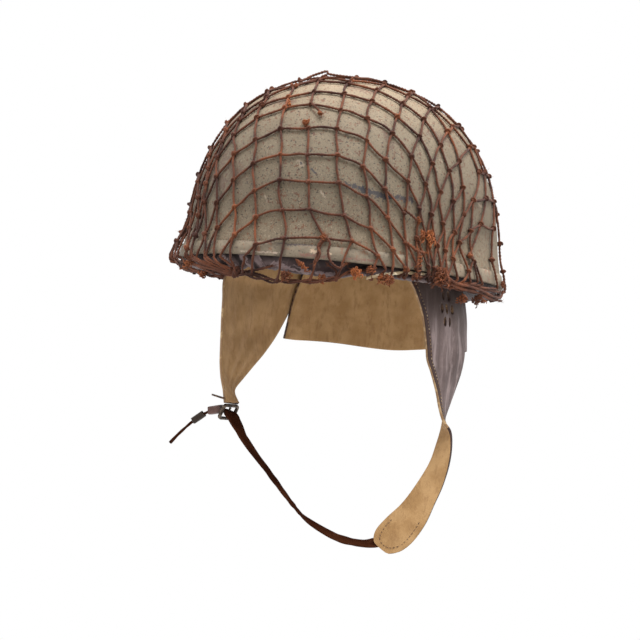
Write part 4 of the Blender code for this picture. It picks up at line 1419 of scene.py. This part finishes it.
def make_loose_cords(looks):
    chance = random.Random(37)
    tubes = TubeSet()
    fibres = TubeSet()
    for name, places in LOOSE_CORDS.items():
        points = [on_shell(*place, lift) for place, lift in places]
        route = smooth_route(points, 10)
        radius = CORD_RADIUS * (1.25 if name == "thick_fray" else 1.0)
        tubes.add(route, radius, CORD_SIDES, CORD_TWIST, CORD_PLY)
        for end, before in ((route[0], route[2]), (route[-1], route[-3])):
            tuft(fibres, end, end - before, 14, 0.0045, 0.35, chance)
    tubes.piece("loose_net_cords", looks["cord"], "net_cord", ["net"])
    fibres.piece("loose_cord_ends", looks["fray"], "net_cord", ["net"])


def make_hem(looks, hem_points):
    """Two draw cords that wind round each other under the rim and hold the net's edge."""
    chance = random.Random(43)
    tubes = TubeSet()
    steps = 620
    phases = [chance.uniform(0.0, math.tau) for _ in range(4)]
    for ply in (0, 1):
        route = []
        for step in range(steps + 1):
            angle = math.tau * step / steps
            wind = 26.0 * angle + math.pi * ply
            slow = math.sin(5.0 * angle + phases[0]) + math.sin(9.0 * angle + phases[1])
            rim = wall_point(angle, 0.0, 0.0)
            picture_x = in_picture(rim)[0]
            tucked = within(picture_x, *HEM_TUCKED)
            tucked *= 1.0 if faces_view(rim) else 0.0
            offset = -0.0022 + 0.0011 * math.cos(wind) + 0.0006 * slow - 0.0050 * tucked
            height = 0.0011 * math.sin(wind) + 0.0007 * math.sin(
                11.0 * angle + phases[2]) + 0.0005 * slow
            height -= 0.95 * hem_drop(rim) * (1.0 - tucked) + 0.0052 * tucked
            route.append(wall_point(angle, 0.0, offset) + upright(height))
        tubes.add(route, CORD_RADIUS * 0.95, 7, CORD_TWIST, 0.18)
    for point in hem_points:
        centre = Vector(point)
        normal = Vector(outward([point])[0])
        across = normal.cross(upright(1.0)).normalized()
        tubes.blob(centre, (across, upright(1.0), normal),
                   (0.0019, 0.0022, 0.0016), KNOT_LUMPS, chance)
    tubes.piece("net_hem_cords", looks["hem"], "net_cord", ["net"])


def beneath(picture_x, picture_y, offset):
    """The point seen at a place in the picture on an upright wall `offset` off the rim."""
    angle, height = -math.radians(90.0 - VIEW_TURN_DEG), 0.0
    step = 1e-4
    for _ in range(12):
        def miss(turn, rise):
            x, y = in_picture(wall_point(turn, 0.0, offset) + upright(rise))
            return np.array((x - picture_x, y - picture_y))
        now = miss(angle, height)
        slopes = np.stack(((miss(angle + step, height) - now) / step,
                           (miss(angle, height + step) - now) / step), axis=1)
        change = np.linalg.solve(slopes, now)
        angle -= float(np.clip(change[0], -0.2, 0.2))
        height -= float(np.clip(change[1], -0.05, 0.05))
    return wall_point(angle, 0.0, offset) + upright(height)


def settle(piece):
    """Turn a piece's modifiers into its mesh."""
    view = bpy.context.evaluated_depsgraph_get()
    mesh = bpy.data.meshes.new_from_object(piece.evaluated_get(view))
    piece.modifiers.clear()
    piece.data = mesh


def cut_away(piece, points, faces, inside=0):
    """Cut a closed form out of a piece, and give the cut faces one of its materials."""
    cutter = bpy.data.objects.new("cutter", mesh_of("cutter", points, faces, False))
    for polygon in cutter.data.polygons:
        polygon.material_index = inside
    bpy.context.scene.collection.objects.link(cutter)
    flip_outward(cutter.data)
    cut = piece.modifiers.new("cut", "BOOLEAN")
    cut.operation = "DIFFERENCE"
    cut.solver = "EXACT"
    cut.object = cutter
    settle(piece)
    bpy.data.objects.remove(cutter)


def rod(start, end, side, other, sides=16):
    """A closed rod with an oval section, as points and faces."""
    points = []
    for end_point in (start, end):
        for corner in range(sides):
            angle = math.tau * corner / sides
            points.append(end_point + around(side, other, angle))
    faces = [tuple(range(sides)), tuple(range(2 * sides - 1, sides - 1, -1))]
    for corner in range(sides):
        after = (corner + 1) % sides
        faces.append((corner, sides + corner, sides + after, after))
    return points, faces


# The brow pad's section: offset from the shell and height, round the closed form
PAD_SECTION = (
    (-0.0034, -0.0022), (-0.0032, 0.0060), (-0.0034, 0.0150), (-0.0046, 0.0240),
    (-0.0100, 0.0296), (-0.0200, 0.0298), (-0.0280, 0.0292), (-0.0312, 0.0230),
    (-0.0314, 0.0140), (-0.0292, 0.0070), (-0.0232, 0.0000), (-0.0172, -0.0060),
    (-0.0128, -0.0088), (-0.0088, -0.0090), (-0.0056, -0.0070),
)
# Above the height PAD_FREE the pad stays PAD_CLEAR inside the shell's outer face
PAD_CLEAR = -0.0034
PAD_FREE = -0.0030
# Where the pad is gathered, sags and draws back, as HEM_TUCKED has it
PAD_GATHERED = (200, 216, 262, 278)
PAD_SAGGING = (258, 300, 336, 372)
PAD_SHY = (284, 312, 428, 450)


def make_brow_pad(looks):
    """The stuffed leather band: gathered on one side of the brow, sagging on the other."""
    chance = random.Random(53)
    steps, between = 640, 5
    gathers = [(chance.uniform(60.0, 150.0), chance.uniform(0.0, math.tau)) for _ in range(5)]
    section = []
    for index in range(len(PAD_SECTION)):
        rows = [Vector(PAD_SECTION[(index + shift) % len(PAD_SECTION)])
                for shift in (-1, 0, 1, 2)]
        section.extend(catmull(*rows, step / between) for step in range(between))
    middle = Vector((-0.017, 0.011))
    points = []
    for step in range(steps):
        angle = math.tau * step / steps
        rim = wall_point(angle, 0.0, 0.0)
        near = 1.0 if faces_view(rim) else 0.0
        picture_x = in_picture(rim)[0]
        gathered = near * within(picture_x, *PAD_GATHERED)
        sag = near * within(picture_x, *PAD_SAGGING)
        shy = near * within(picture_x, *PAD_SHY)
        wave = sum(math.sin(round(rate) * angle + phase) for rate, phase in gathers) / 2.2
        slow = math.sin(7.0 * angle + 0.7) + 0.6 * math.sin(13.0 * angle + 2.0)
        for place in section:
            low = ease(-place.y, -0.014, 0.006)
            outer = ease(place.x, -0.022, -0.006)
            lobe = abs(math.sin(math.pi * (picture_x - 214.0 + 1100.0 * place.y) / 18.5))
            puff = gathered * ease(-place.y, -0.012, 0.001) * (0.0068 * lobe ** 0.5 - 0.0048)
            swell = 0.00022 * slow + 0.00030 * wave * low + puff
            point = place + (place - middle).normalized() * swell
            point.x -= 0.0085 * shy * ease(place.y, -0.0085, 0.0) * outer * low
            point.y -= 0.0046 * sag * low * outer * (1.0 + 0.10 * math.sin(19.0 * angle))
            point.y -= 0.0012 * gathered * low * outer
            offset = min(point.x, PAD_CLEAR) if place.y > PAD_FREE else point.x
            points.append(wall_point(angle, max(point.y, 0.0), offset)
                          + upright(min(point.y, 0.0)))
    mesh = ring_mesh("brow_band", points, steps, len(section))
    band = add_piece("brow_band", mesh, [looks["brow"]], ["brow_pad"])


# The raw lower edge of the lining, by places in the picture
LINING_EDGE = ((366, 278.5), (372, 276.8), (380, 275.4), (389, 274.2), (397, 273.2), (404, 272.6),
               (414, 273.2), (424, 274.2), (433, 275.2))


def make_lining_edge(looks):
    """A strip of lining whose raw cream edge shows under the front rim."""
    rows = []
    for place in LINING_EDGE:
        point = beneath(*place, -0.0020)
        rows.append((point, outward([point + upright(0.02)])[0]))
    points = []
    for point, normal in rows:
        normal = Vector((normal[0], normal[1], 0.0)).normalized()
        for lift, inward in ((0.0, 0.0), (0.0022, 0.0006), (0.0050, 0.0022), (0.0080, 0.0040)):
            points.append(point + upright(lift) - normal * inward)
    mesh = mesh_of("lining_strip", points, grid_faces(len(rows), 4))
    strip = add_piece("lining_strip", mesh, [looks["brow"]])
    solidify(strip, 0.0019, 0.0)
    subdivide(strip, 2)
    tubes = TubeSet()
    route = smooth_route([point + Vector((normal[0], normal[1], 0.0)) * 0.0010
                          for point, normal in rows], 6)
    last = len(route) - 1
    radii = [0.0004 + 0.0009 * math.sin(math.pi * min(1.0, 0.25 + 0.70 * step / last)) ** 0.6
             for step in range(last + 1)]
    tubes.add(route, radii, 10, 0.011, 0.16)
    tubes.piece("lining_edge", looks["raw edge"], "pad_leather")


def subdivide(piece, levels):
    smooth = piece.modifiers.new("smooth", "SUBSURF")
    smooth.levels = smooth.render_levels = levels


# The liner cap: how far it sits in over the pad, clears the crown and is drawn in
CAP_SEAT = 0.006
CAP_CROWN_SPACE = 0.020
CAP_PINCH = 0.93
CAP_GORES = 8
CAP_STITCHES = 26


def cap_point(angle, share, inward=0.0):
    """A place on the liner cap: round it, and from its band (0) to its crown (1)."""
    base = PAD_TOP + FIT_GAP
    height = DOME_HEIGHT - SHELL_WALL - CAP_CROWN_SPACE - base
    rise = math.sin(0.5 * math.pi * share) ** (2.0 / DOME_POWER)
    level = max(math.cos(0.5 * math.pi * share), 0.0) ** (2.0 / DOME_POWER)
    gore = abs(math.sin(0.5 * CAP_GORES * angle))
    dip = 0.0011 * (1.0 - gore) ** 3 + inward
    across = (RIM_HALF_WIDTH - PAD_DEPTH + CAP_SEAT) * CAP_PINCH - dip
    along = (RIM_HALF_LENGTH - PAD_DEPTH + CAP_SEAT) * CAP_PINCH - dip
    return Vector((across * level * math.cos(angle), along * level * math.sin(angle),
                   base + (height - dip * share) * rise))


def make_liner_cap(looks):
    """The soft cap of leather gores, with a seam sewn along each join."""
    rings, segments = 30, 128
    points = []
    for ring in range(rings):
        share = ring / rings
        for segment in range(segments):
            angle = math.tau * (segment + 0.5) / segments
            points.append(cap_point(angle, share,
                                    0.0003 * math.sin(11.0 * angle) * math.sin(9.0 * share)))
    mesh = domed_mesh("gored_cap", points, cap_point(0.0, 1.0), rings, segments)
    cap = add_piece("gored_cap", mesh, [looks["cap"], looks["suede"]],
                    ["liner_cap"])
    solidify(cap, LEATHER, -1.0, 0, 0)
    seams = TubeSet()
    for gore in range(CAP_GORES):
        angle = math.tau * gore / CAP_GORES
        for stitch in range(CAP_STITCHES):
            route = [cap_point(angle, 0.04 + 0.88 * (stitch + bit) / CAP_STITCHES, LEATHER)
                     for bit in (0.12, 0.4, 0.7, 0.88)]
            seams.add(route, 0.0005, 5)
    seams.piece("cap_stitches", looks["thread"], "cap_leather")


def flap_point(table, side, place, share):
    """A place on a flap's middle sheet: down its rows, and from its front to its rear edge."""
    values = table_at(table, place)
    front, rear = harness_point(*values[:3]), harness_point(*values[3:6])
    point = front.lerp(rear, share)
    point.x += values[6] * HARNESS_HALF_WIDTH * 4.0 * share * (1.0 - share)
    point.x *= side
    return point


BINDING_WIDTH = 0.0046
LOBE_INSET = 0.0050
STITCH_PITCH = 0.0026
# The row of the left flap where it turns over and its dark band narrows
TWIST_PLACE = 10.6
ROW_STEPS = 8
# Outer face, inner face and cut edge of the sheet, of its bound edge, and of the bound edge
# past the twist
FLAP_LOOKS = ("grain", "suede", "edge", "binding", "suede", "tan edge", "binding", "suede",
              "binding")


def flap_width(table, side, place):
    return (flap_point(table, side, place, 0.0) - flap_point(table, side, place, 1.0)).length


def flap_sheet(name, table, side, looks, replaced):
    """One earpiece, grain outside and suede inside, gently cockled."""
    rows, columns = (len(table) - 1) * ROW_STEPS + 1, 34
    points = []
    for row in range(rows):
        place = min(row / ROW_STEPS, end_of(table))
        width = flap_width(table, side, place)
        bound = min(0.42, BINDING_WIDTH / width)
        for column in range(columns):
            share = bound * column / 3.0
            if column > 3:
                share = bound + (1.0 - bound) * (column - 3.0) / (columns - 4.0)
            point = flap_point(table, side, place, share)
            cockle = math.sin(1.9 * place + 2.5 * share) * math.sin(math.pi * share)
            fold = math.sin(21.0 * share + 0.8 * math.sin(place)) * math.sin(math.pi * share)
            point.x += (0.0006 * cockle + 0.0005 * fold) * min(1.0, width / 0.05)
            points.append(point)
    mesh = mesh_of(name, points, grid_faces(rows, columns))
    piece = add_piece(name, mesh, [looks[key] for key in FLAP_LOOKS],
                      [replaced])
    for index, polygon in enumerate(mesh.polygons):
        row, column = divmod(index, columns - 1)
        if side > 0.0 and row > ROW_STEPS * TWIST_PLACE:
            polygon.material_index = 6 if column < 2 else 0
        else:
            polygon.material_index = 3 if column < 3 else 0
    if mesh.polygons[0].normal.x * side <= 0.0:
        mesh.flip_normals()
    solidify(piece, LEATHER, 0.0, 1, 2)
    return piece


def sew(tubes, line, gap, radius):
    """Stitches on both faces of the left flap along a line of places down and across it."""
    spots = [flap_point(LEFT_FLAP, 1.0, *place) for place in line]
    travelled, first = 0.0, 0
    for index in range(1, len(line)):
        travelled += (spots[index] - spots[index - 1]).length
        if travelled < gap:
            continue
        place, share = line[first]
        down = flap_point(LEFT_FLAP, 1.0, place + 0.05, share) - spots[first]
        across = flap_point(LEFT_FLAP, 1.0, place, share + 0.05) - spots[first]
        lift = down.cross(across).normalized() * (LEATHER * 0.5 + 0.0001)
        run = spots[first:max(first + 2, first + int(0.75 * (index - first)))]
        for side in (lift, -lift):
            tubes.add([spot + side for spot in run], radius, 6)
        travelled, first = 0.0, index


def inset_share(place, inset):
    return min(0.42, inset / flap_width(LEFT_FLAP, 1.0, place))


def make_flap_stitches(looks):
    """Thread through the dark band at the left flap's front edge, and round the lobe's end."""
    tubes = TubeSet()
    band = [(0.05 * step, 0.80 * inset_share(0.05 * step, BINDING_WIDTH))
            for step in range(24, int(20.0 * TWIST_PLACE))]
    sew(tubes, band, STITCH_PITCH, 0.00030)
    tubes.piece("binding_stitches", looks["thread"], "harness_leather")
    tubes = TubeSet()
    turn = 17.6
    places = [16.0 + 0.05 * step for step in range(32)]
    edge = inset_share(turn, LOBE_INSET)
    line = [(place, inset_share(place, LOBE_INSET)) for place in places]
    line += [(turn + 0.75 * math.sin(math.pi * step / 40.0) ** 0.7,
              edge + (1.0 - 2.0 * edge) * step / 40.0) for step in range(1, 40)]
    line += [(place, 1.0 - inset_share(place, LOBE_INSET)) for place in reversed(places)]
    sew(tubes, line, STITCH_PITCH, 0.00032)
    tubes.piece("tongue_stitches", looks["dark thread"], "harness_leather")


def make_flap_tip(looks):
    """The narrow pointed end of leather that stands out of the right flap's foot."""
    root = flap_point(RIGHT_FLAP, -1.0, 9.6, 0.0)
    _, right, up, forward = view_axes()
    heading = (up * 0.32 - right).normalized()
    points = []
    for step in range(13):
        share = step / 12.0
        middle = root + heading * (0.0115 * share - 0.0006)
        half = 0.0032 * (1.0 - share ** 3) + 0.0004
        points += [middle + forward * half * across for across in (-1.0, -0.5, 0.0, 0.5, 1.0)]
    mesh = mesh_of("flap_tip", points, grid_faces(13, 5))
    tip = add_piece("flap_tip", mesh, [looks["binding"], looks["suede"], looks["edge"]])
    solidify(tip, 0.0013, 0.0, 0, 2)


def make_flaps(looks):
    left = flap_sheet("left_earpiece", LEFT_FLAP, 1.0, looks, "ear_flap_left")
    settle(left)
    points, faces = [], []
    for row, count in ((-1, 2), (0, 3), (1, 2)):
        for column in range(count):
            centre = Vector((HARNESS_HALF_WIDTH,
                             SLIT_CENTRE[0] + (column - (count - 1) / 2.0) * SLIT_PITCH[0],
                             SLIT_CENTRE[1] - row * SLIT_PITCH[1]))
            reach = Vector((0.02, 0.0, 0.0))
            slit, sides = rod(centre - reach, centre + reach,
                              Vector((0.0, SLIT_SIZE[0] / 2.0, 0.0)),
                              Vector((0.0, 0.0, SLIT_SIZE[1] / 2.0)))
            faces += [tuple(index + len(points) for index in side) for side in sides]
            points += slit
    cut_away(left, points, faces, 2)
    flap_sheet("right_earpiece", RIGHT_FLAP, -1.0, looks, "ear_flap_right")
    make_flap_stitches(looks)
    make_flap_tip(looks)


def make_curtain(looks):
    rows, columns = (len(CURTAIN) - 1) * ROW_STEPS + 1, 96
    ear_along = LEFT_FLAP[0][4] * HARNESS_HALF_LENGTH
    points = []
    for row in range(rows):
        down, back, out = table_at(CURTAIN, min(row / ROW_STEPS, end_of(CURTAIN)))
        nape, ear = back * HARNESS_HALF_LENGTH, out * HARNESS_HALF_WIDTH
        for column in range(columns + 1):
            angle = math.pi * column / columns
            low = (row / rows) ** 1.5
            ripple = (0.0016 * math.sin(9.0 * angle + 0.6) + 0.0009 * math.sin(
                17.0 * angle + 2.0)) * low * math.sin(angle)
            flat = 1.0 + 0.30 * low
            across = math.copysign(abs(math.cos(angle)) ** flat, math.cos(angle))
            rear = math.sin(angle) ** flat
            sag = 0.0016 * low * math.sin(5.0 * angle + 1.0) * math.sin(angle)
            points.append(Vector(((ear + ripple) * across,
                                  ear_along + (nape - ear_along + ripple) * rear,
                                  -down * HARNESS_DROP + sag)))
    width = columns + 1
    full = []
    for row in range(rows):
        line = points[row * width:(row + 1) * width]
        back = Vector((0.0, -CURTAIN_LAP, 0.0))
        full += [line[0] + back] + line + [line[-1] + back]
    mesh = mesh_of("nape_curtain", full, grid_faces(rows, width + 2))
    if mesh.polygons[len(mesh.polygons) // 2].normal.y < 0.0:
        mesh.flip_normals()
    piece = add_piece("nape_curtain", mesh, [looks["grain"], looks["suede"], looks["edge"]],
                      ["neck_curtain"])
    solidify(piece, LEATHER, 0.0, 1, 2)


def strap_frame(place):
    """The strap's point, heading, width direction, face direction and width share."""
    last = end_of(STRAP_ROUTE)
    values = table_at(STRAP_ROUTE, min(place, last))
    ahead = harness_point(*table_at(STRAP_ROUTE, min(place + 0.05, last))[:3])
    behind = harness_point(*table_at(STRAP_ROUTE, max(place - 0.05, 0.0))[:3])
    heading = (ahead - behind).normalized()
    level = heading.cross(upright(1.0)).normalized()
    width = around(level, level.cross(heading).normalized(), math.radians(values[3]))
    return (harness_point(*values[:3]), heading, width, heading.cross(width).normalized(),
            values[4])


def make_strap(looks):
    """The chin strap: rounded borders, cross creases and a tail that narrows."""
    chance = random.Random(61)
    creases = [(chance.uniform(0.5, 17.5), chance.uniform(0.0001, 0.0003),
                chance.uniform(0.10, 0.25)) for _ in range(26)]
    steps = 420
    last = end_of(STRAP_ROUTE)
    section = ((0.5, 0.18), (0.47, 0.42), (0.40, 0.5), (0.2, 0.52), (0.0, 0.53), (-0.2, 0.52),
               (-0.40, 0.5), (-0.47, 0.42), (-0.5, 0.18))
    section += tuple((-across, -face) for across, face in section)
    points = []
    for step in range(steps + 1):
        place = STRAP_START + (last - STRAP_START) * step / steps
        point, _, width, face, share = strap_frame(place)
        if place > last - 0.35:
            share *= 0.55 + 0.45 * math.sqrt(max((last - place) / 0.35, 0.02))
        dip = sum(depth * math.exp(-((place - spot) / reach) ** 2)
                  for spot, depth, reach in creases)
        for across, out in section:
            lift = out * STRAP_THICKNESS
            lift -= math.copysign(min(dip, 0.0006), out) * (1.0 if abs(across) < 0.49 else 0.3)
            points.append(point + width * (across * STRAP_WIDTH * share) + face * lift)
    faces = grid_faces(steps + 1, len(section), wrap_columns=True)
    ends = range(len(section)), range(steps * len(section), (steps + 1) * len(section))
    faces += [tuple(ends[0]), tuple(ends[1])[::-1]]
    mesh = mesh_of("chin_band", points, faces)
    flip_outward(mesh)
    strap = add_piece("chin_band", mesh, [looks["strap"]], ["chin_strap"])
    mesh.set_sharp_from_angle(angle=math.radians(60))
    for hole, radius, sides in STRAP_HOLES:
        centre, heading, width, face, _ = strap_frame(hole)
        reach = face * 0.006
        cut_away(strap, *rod(centre - reach, centre + reach, heading * radius, width * radius,
                             sides))


# Stations are places along the strap's route, and lengths are in metres
BUCKLE_BAR = 0.0013
BUCKLE_OPENING = (0.0170, 0.0090)
PIN_RADIUS = 0.0009
KEEPER_WALL = 0.0014
KEEPER_LENGTH = 0.0110
SLIDE_STATION = 15.55
SLIDE_LENGTH = 0.0110
SLIDE_WALL = 0.0008
# Each hole's station, radius and number of sides
STRAP_HOLES = ((BUCKLE_STATION, 0.0016, 16), (15.6, 0.0009, 12), (16.4, 0.0009, 12))


def make_buckle(looks):
    """The frame, a bent bar with round corners, and its prong."""
    centre, heading, width, face, _ = strap_frame(BUCKLE_STATION)
    corner = BUCKLE_BAR * 2.0
    half_width = BUCKLE_OPENING[0] / 2.0 + BUCKLE_BAR - corner
    half_height = BUCKLE_OPENING[1] / 2.0 + BUCKLE_BAR - corner
    route = []
    for quarter, (across, out) in enumerate(((1, 1), (-1, 1), (-1, -1), (1, -1))):
        for step in range(8):
            angle = math.radians(90.0 * quarter + 90.0 * step / 7.0)
            route.append(centre + width * (across * half_width + corner * math.cos(angle))
                         + face * (out * half_height + corner * math.sin(angle)))
    loop = []
    for index, point in enumerate(route):
        after = route[(index + 1) % len(route)]
        bits = 1 if (after - point).length < 0.002 else 8
        loop.extend(point.lerp(after, bit / bits) for bit in range(bits))
    points = []
    sides = 16
    for index, point in enumerate(loop):
        ahead = (loop[(index + 1) % len(loop)] - loop[index - 1]).normalized()
        other = ahead.cross(heading).normalized()
        for side in range(sides):
            angle = math.tau * side / sides
            flat = 1.0 - 0.10 * math.cos(4.0 * angle)
            points.append(point + around(heading * 1.15, other, angle) * BUCKLE_BAR * flat)
    add_piece("strap_buckle", ring_mesh("strap_buckle", points, len(loop), sides),
              [looks["buckle"]], ["buckle"])
    tubes = TubeSet()
    length = BUCKLE_OPENING[1] - 2.0 * FIT_GAP
    route = [centre + face * length * (step / 12.0 - 0.5) for step in range(13)]
    radii = [PIN_RADIUS * (1.15 if step in (0, 1) else 1.0 - 0.02 * step) for step in range(13)]
    tubes.add(route, radii, 14)
    tubes.piece("buckle_tongue", looks["buckle"], "buckle_metal", ["buckle_pin"])


def make_keepers(looks):
    """The leather loop next to the buckle, and a thin slide further down the strap's tail."""
    strap_loop(looks["keeper"], "tail_keeper", KEEPER_STATION, KEEPER_LENGTH, KEEPER_WALL,
               ["strap_keeper"])
    strap_loop(looks["slide"], "tail_slide", SLIDE_STATION, SLIDE_LENGTH, SLIDE_WALL, [])


def strap_loop(look, name, station, length, wall, replaced):
    """A leather loop round the strap, with rounded borders."""
    point, heading, width, face, share = strap_frame(station)
    half_width = STRAP_WIDTH * share / 2.0 + FIT_GAP + wall / 2.0
    half_face = STRAP_THICKNESS / 2.0 + FIT_GAP * 1.5 + wall / 2.0
    steps = 96
    points = []
    top = ((-0.5, 0.30), (-0.47, 0.46), (-0.40, 0.5), (0.0, 0.52), (0.40, 0.5), (0.47, 0.46),
           (0.5, 0.30))
    section = top + tuple((along, max(-depth, -0.5)) for along, depth in reversed(top))
    for step in range(steps):
        angle = math.tau * step / steps
        reach = (abs(math.cos(angle)) ** 6 + abs(math.sin(angle)) ** 6) ** (-1.0 / 6.0)
        across, out = math.cos(angle) * reach, math.sin(angle) * reach
        centre = point + width * across * half_width + face * out * half_face
        away = (width * across ** 3 / half_width + face * out ** 3 / half_face).normalized()
        for along, depth in section:
            points.append(centre + heading * along * length * (1.0 + 0.04 * math.sin(
                3.0 * angle)) + away * depth * wall)
    add_piece(name, ring_mesh(name, points, steps, len(section)), [look],
              replaced)


# Half the floor's side and its height, in metres
FLOOR_SIZE = 9.0
FLOOR_LEVEL = -2.60
# Each light's place in metres, power in watts and width in metres
LIGHTS = {
    "top_light": ((0.45, -0.20, 1.80), 55.0, 0.9),
    "front_light": ((-0.35, -1.45, 1.35), 6.0, 0.9),
    "left_light": ((-1.60, -0.70, 0.80), 9.0, 0.8),
    "right_light": ((1.50, 0.70, 0.90), 12.0, 0.8),
}


def make_studio(looks):
    """A pale floor, a white surround and broad soft lights."""
    corners = [(across * FLOOR_SIZE, along * FLOOR_SIZE, FLOOR_LEVEL)
               for across, along in ((-1, -1), (1, -1), (1, 1), (-1, 1))]
    floor = bpy.data.objects.new("studio_floor",
                                 mesh_of("studio_floor", corners, [(0, 1, 2, 3)], False))
    floor.data.materials.append(looks["floor"])
    bpy.context.scene.collection.objects.link(floor)
    world = bpy.data.worlds.new("white_studio")
    world.use_nodes = True
    world.node_tree.nodes["Background"].inputs["Color"].default_value = (1.0, 1.0, 1.0, 1.0)
    world.node_tree.nodes["Background"].inputs["Strength"].default_value = 1.0
    bpy.context.scene.world = world
    bpy.context.scene.view_settings.view_transform = "Standard"
    for name, (place, power, width) in LIGHTS.items():
        data = bpy.data.lights.new(name, "AREA")
        data.energy = power
        data.size = width
        light = bpy.data.objects.new(name, data)
        light.location = place
        light.rotation_euler = (-Vector(place)).to_track_quat("-Z", "Y").to_euler()
        bpy.context.scene.collection.objects.link(light)


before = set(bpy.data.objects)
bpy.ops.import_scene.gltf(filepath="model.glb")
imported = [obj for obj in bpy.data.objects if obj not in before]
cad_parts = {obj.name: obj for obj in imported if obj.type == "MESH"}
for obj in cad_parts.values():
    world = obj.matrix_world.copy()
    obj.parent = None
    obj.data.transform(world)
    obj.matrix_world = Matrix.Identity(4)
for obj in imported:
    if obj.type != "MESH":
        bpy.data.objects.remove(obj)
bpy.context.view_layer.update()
make_camera()
LOOKS = make_materials()
make_shell(LOOKS)
make_rim(LOOKS)
KNOTS = settled_knots()
JITTER, HEM_POINTS = make_net(LOOKS, KNOTS)
make_knots(LOOKS, JITTER)
make_fray(LOOKS, JITTER)
make_loose_cords(LOOKS)
make_hem(LOOKS, HEM_POINTS)
for make in (make_brow_pad, make_lining_edge, make_liner_cap, make_flaps, make_curtain,
             make_strap, make_buckle, make_keepers, make_studio):
    make(LOOKS)
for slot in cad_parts["crown_pad"].material_slots:
    slot.material = LOOKS["felt"]
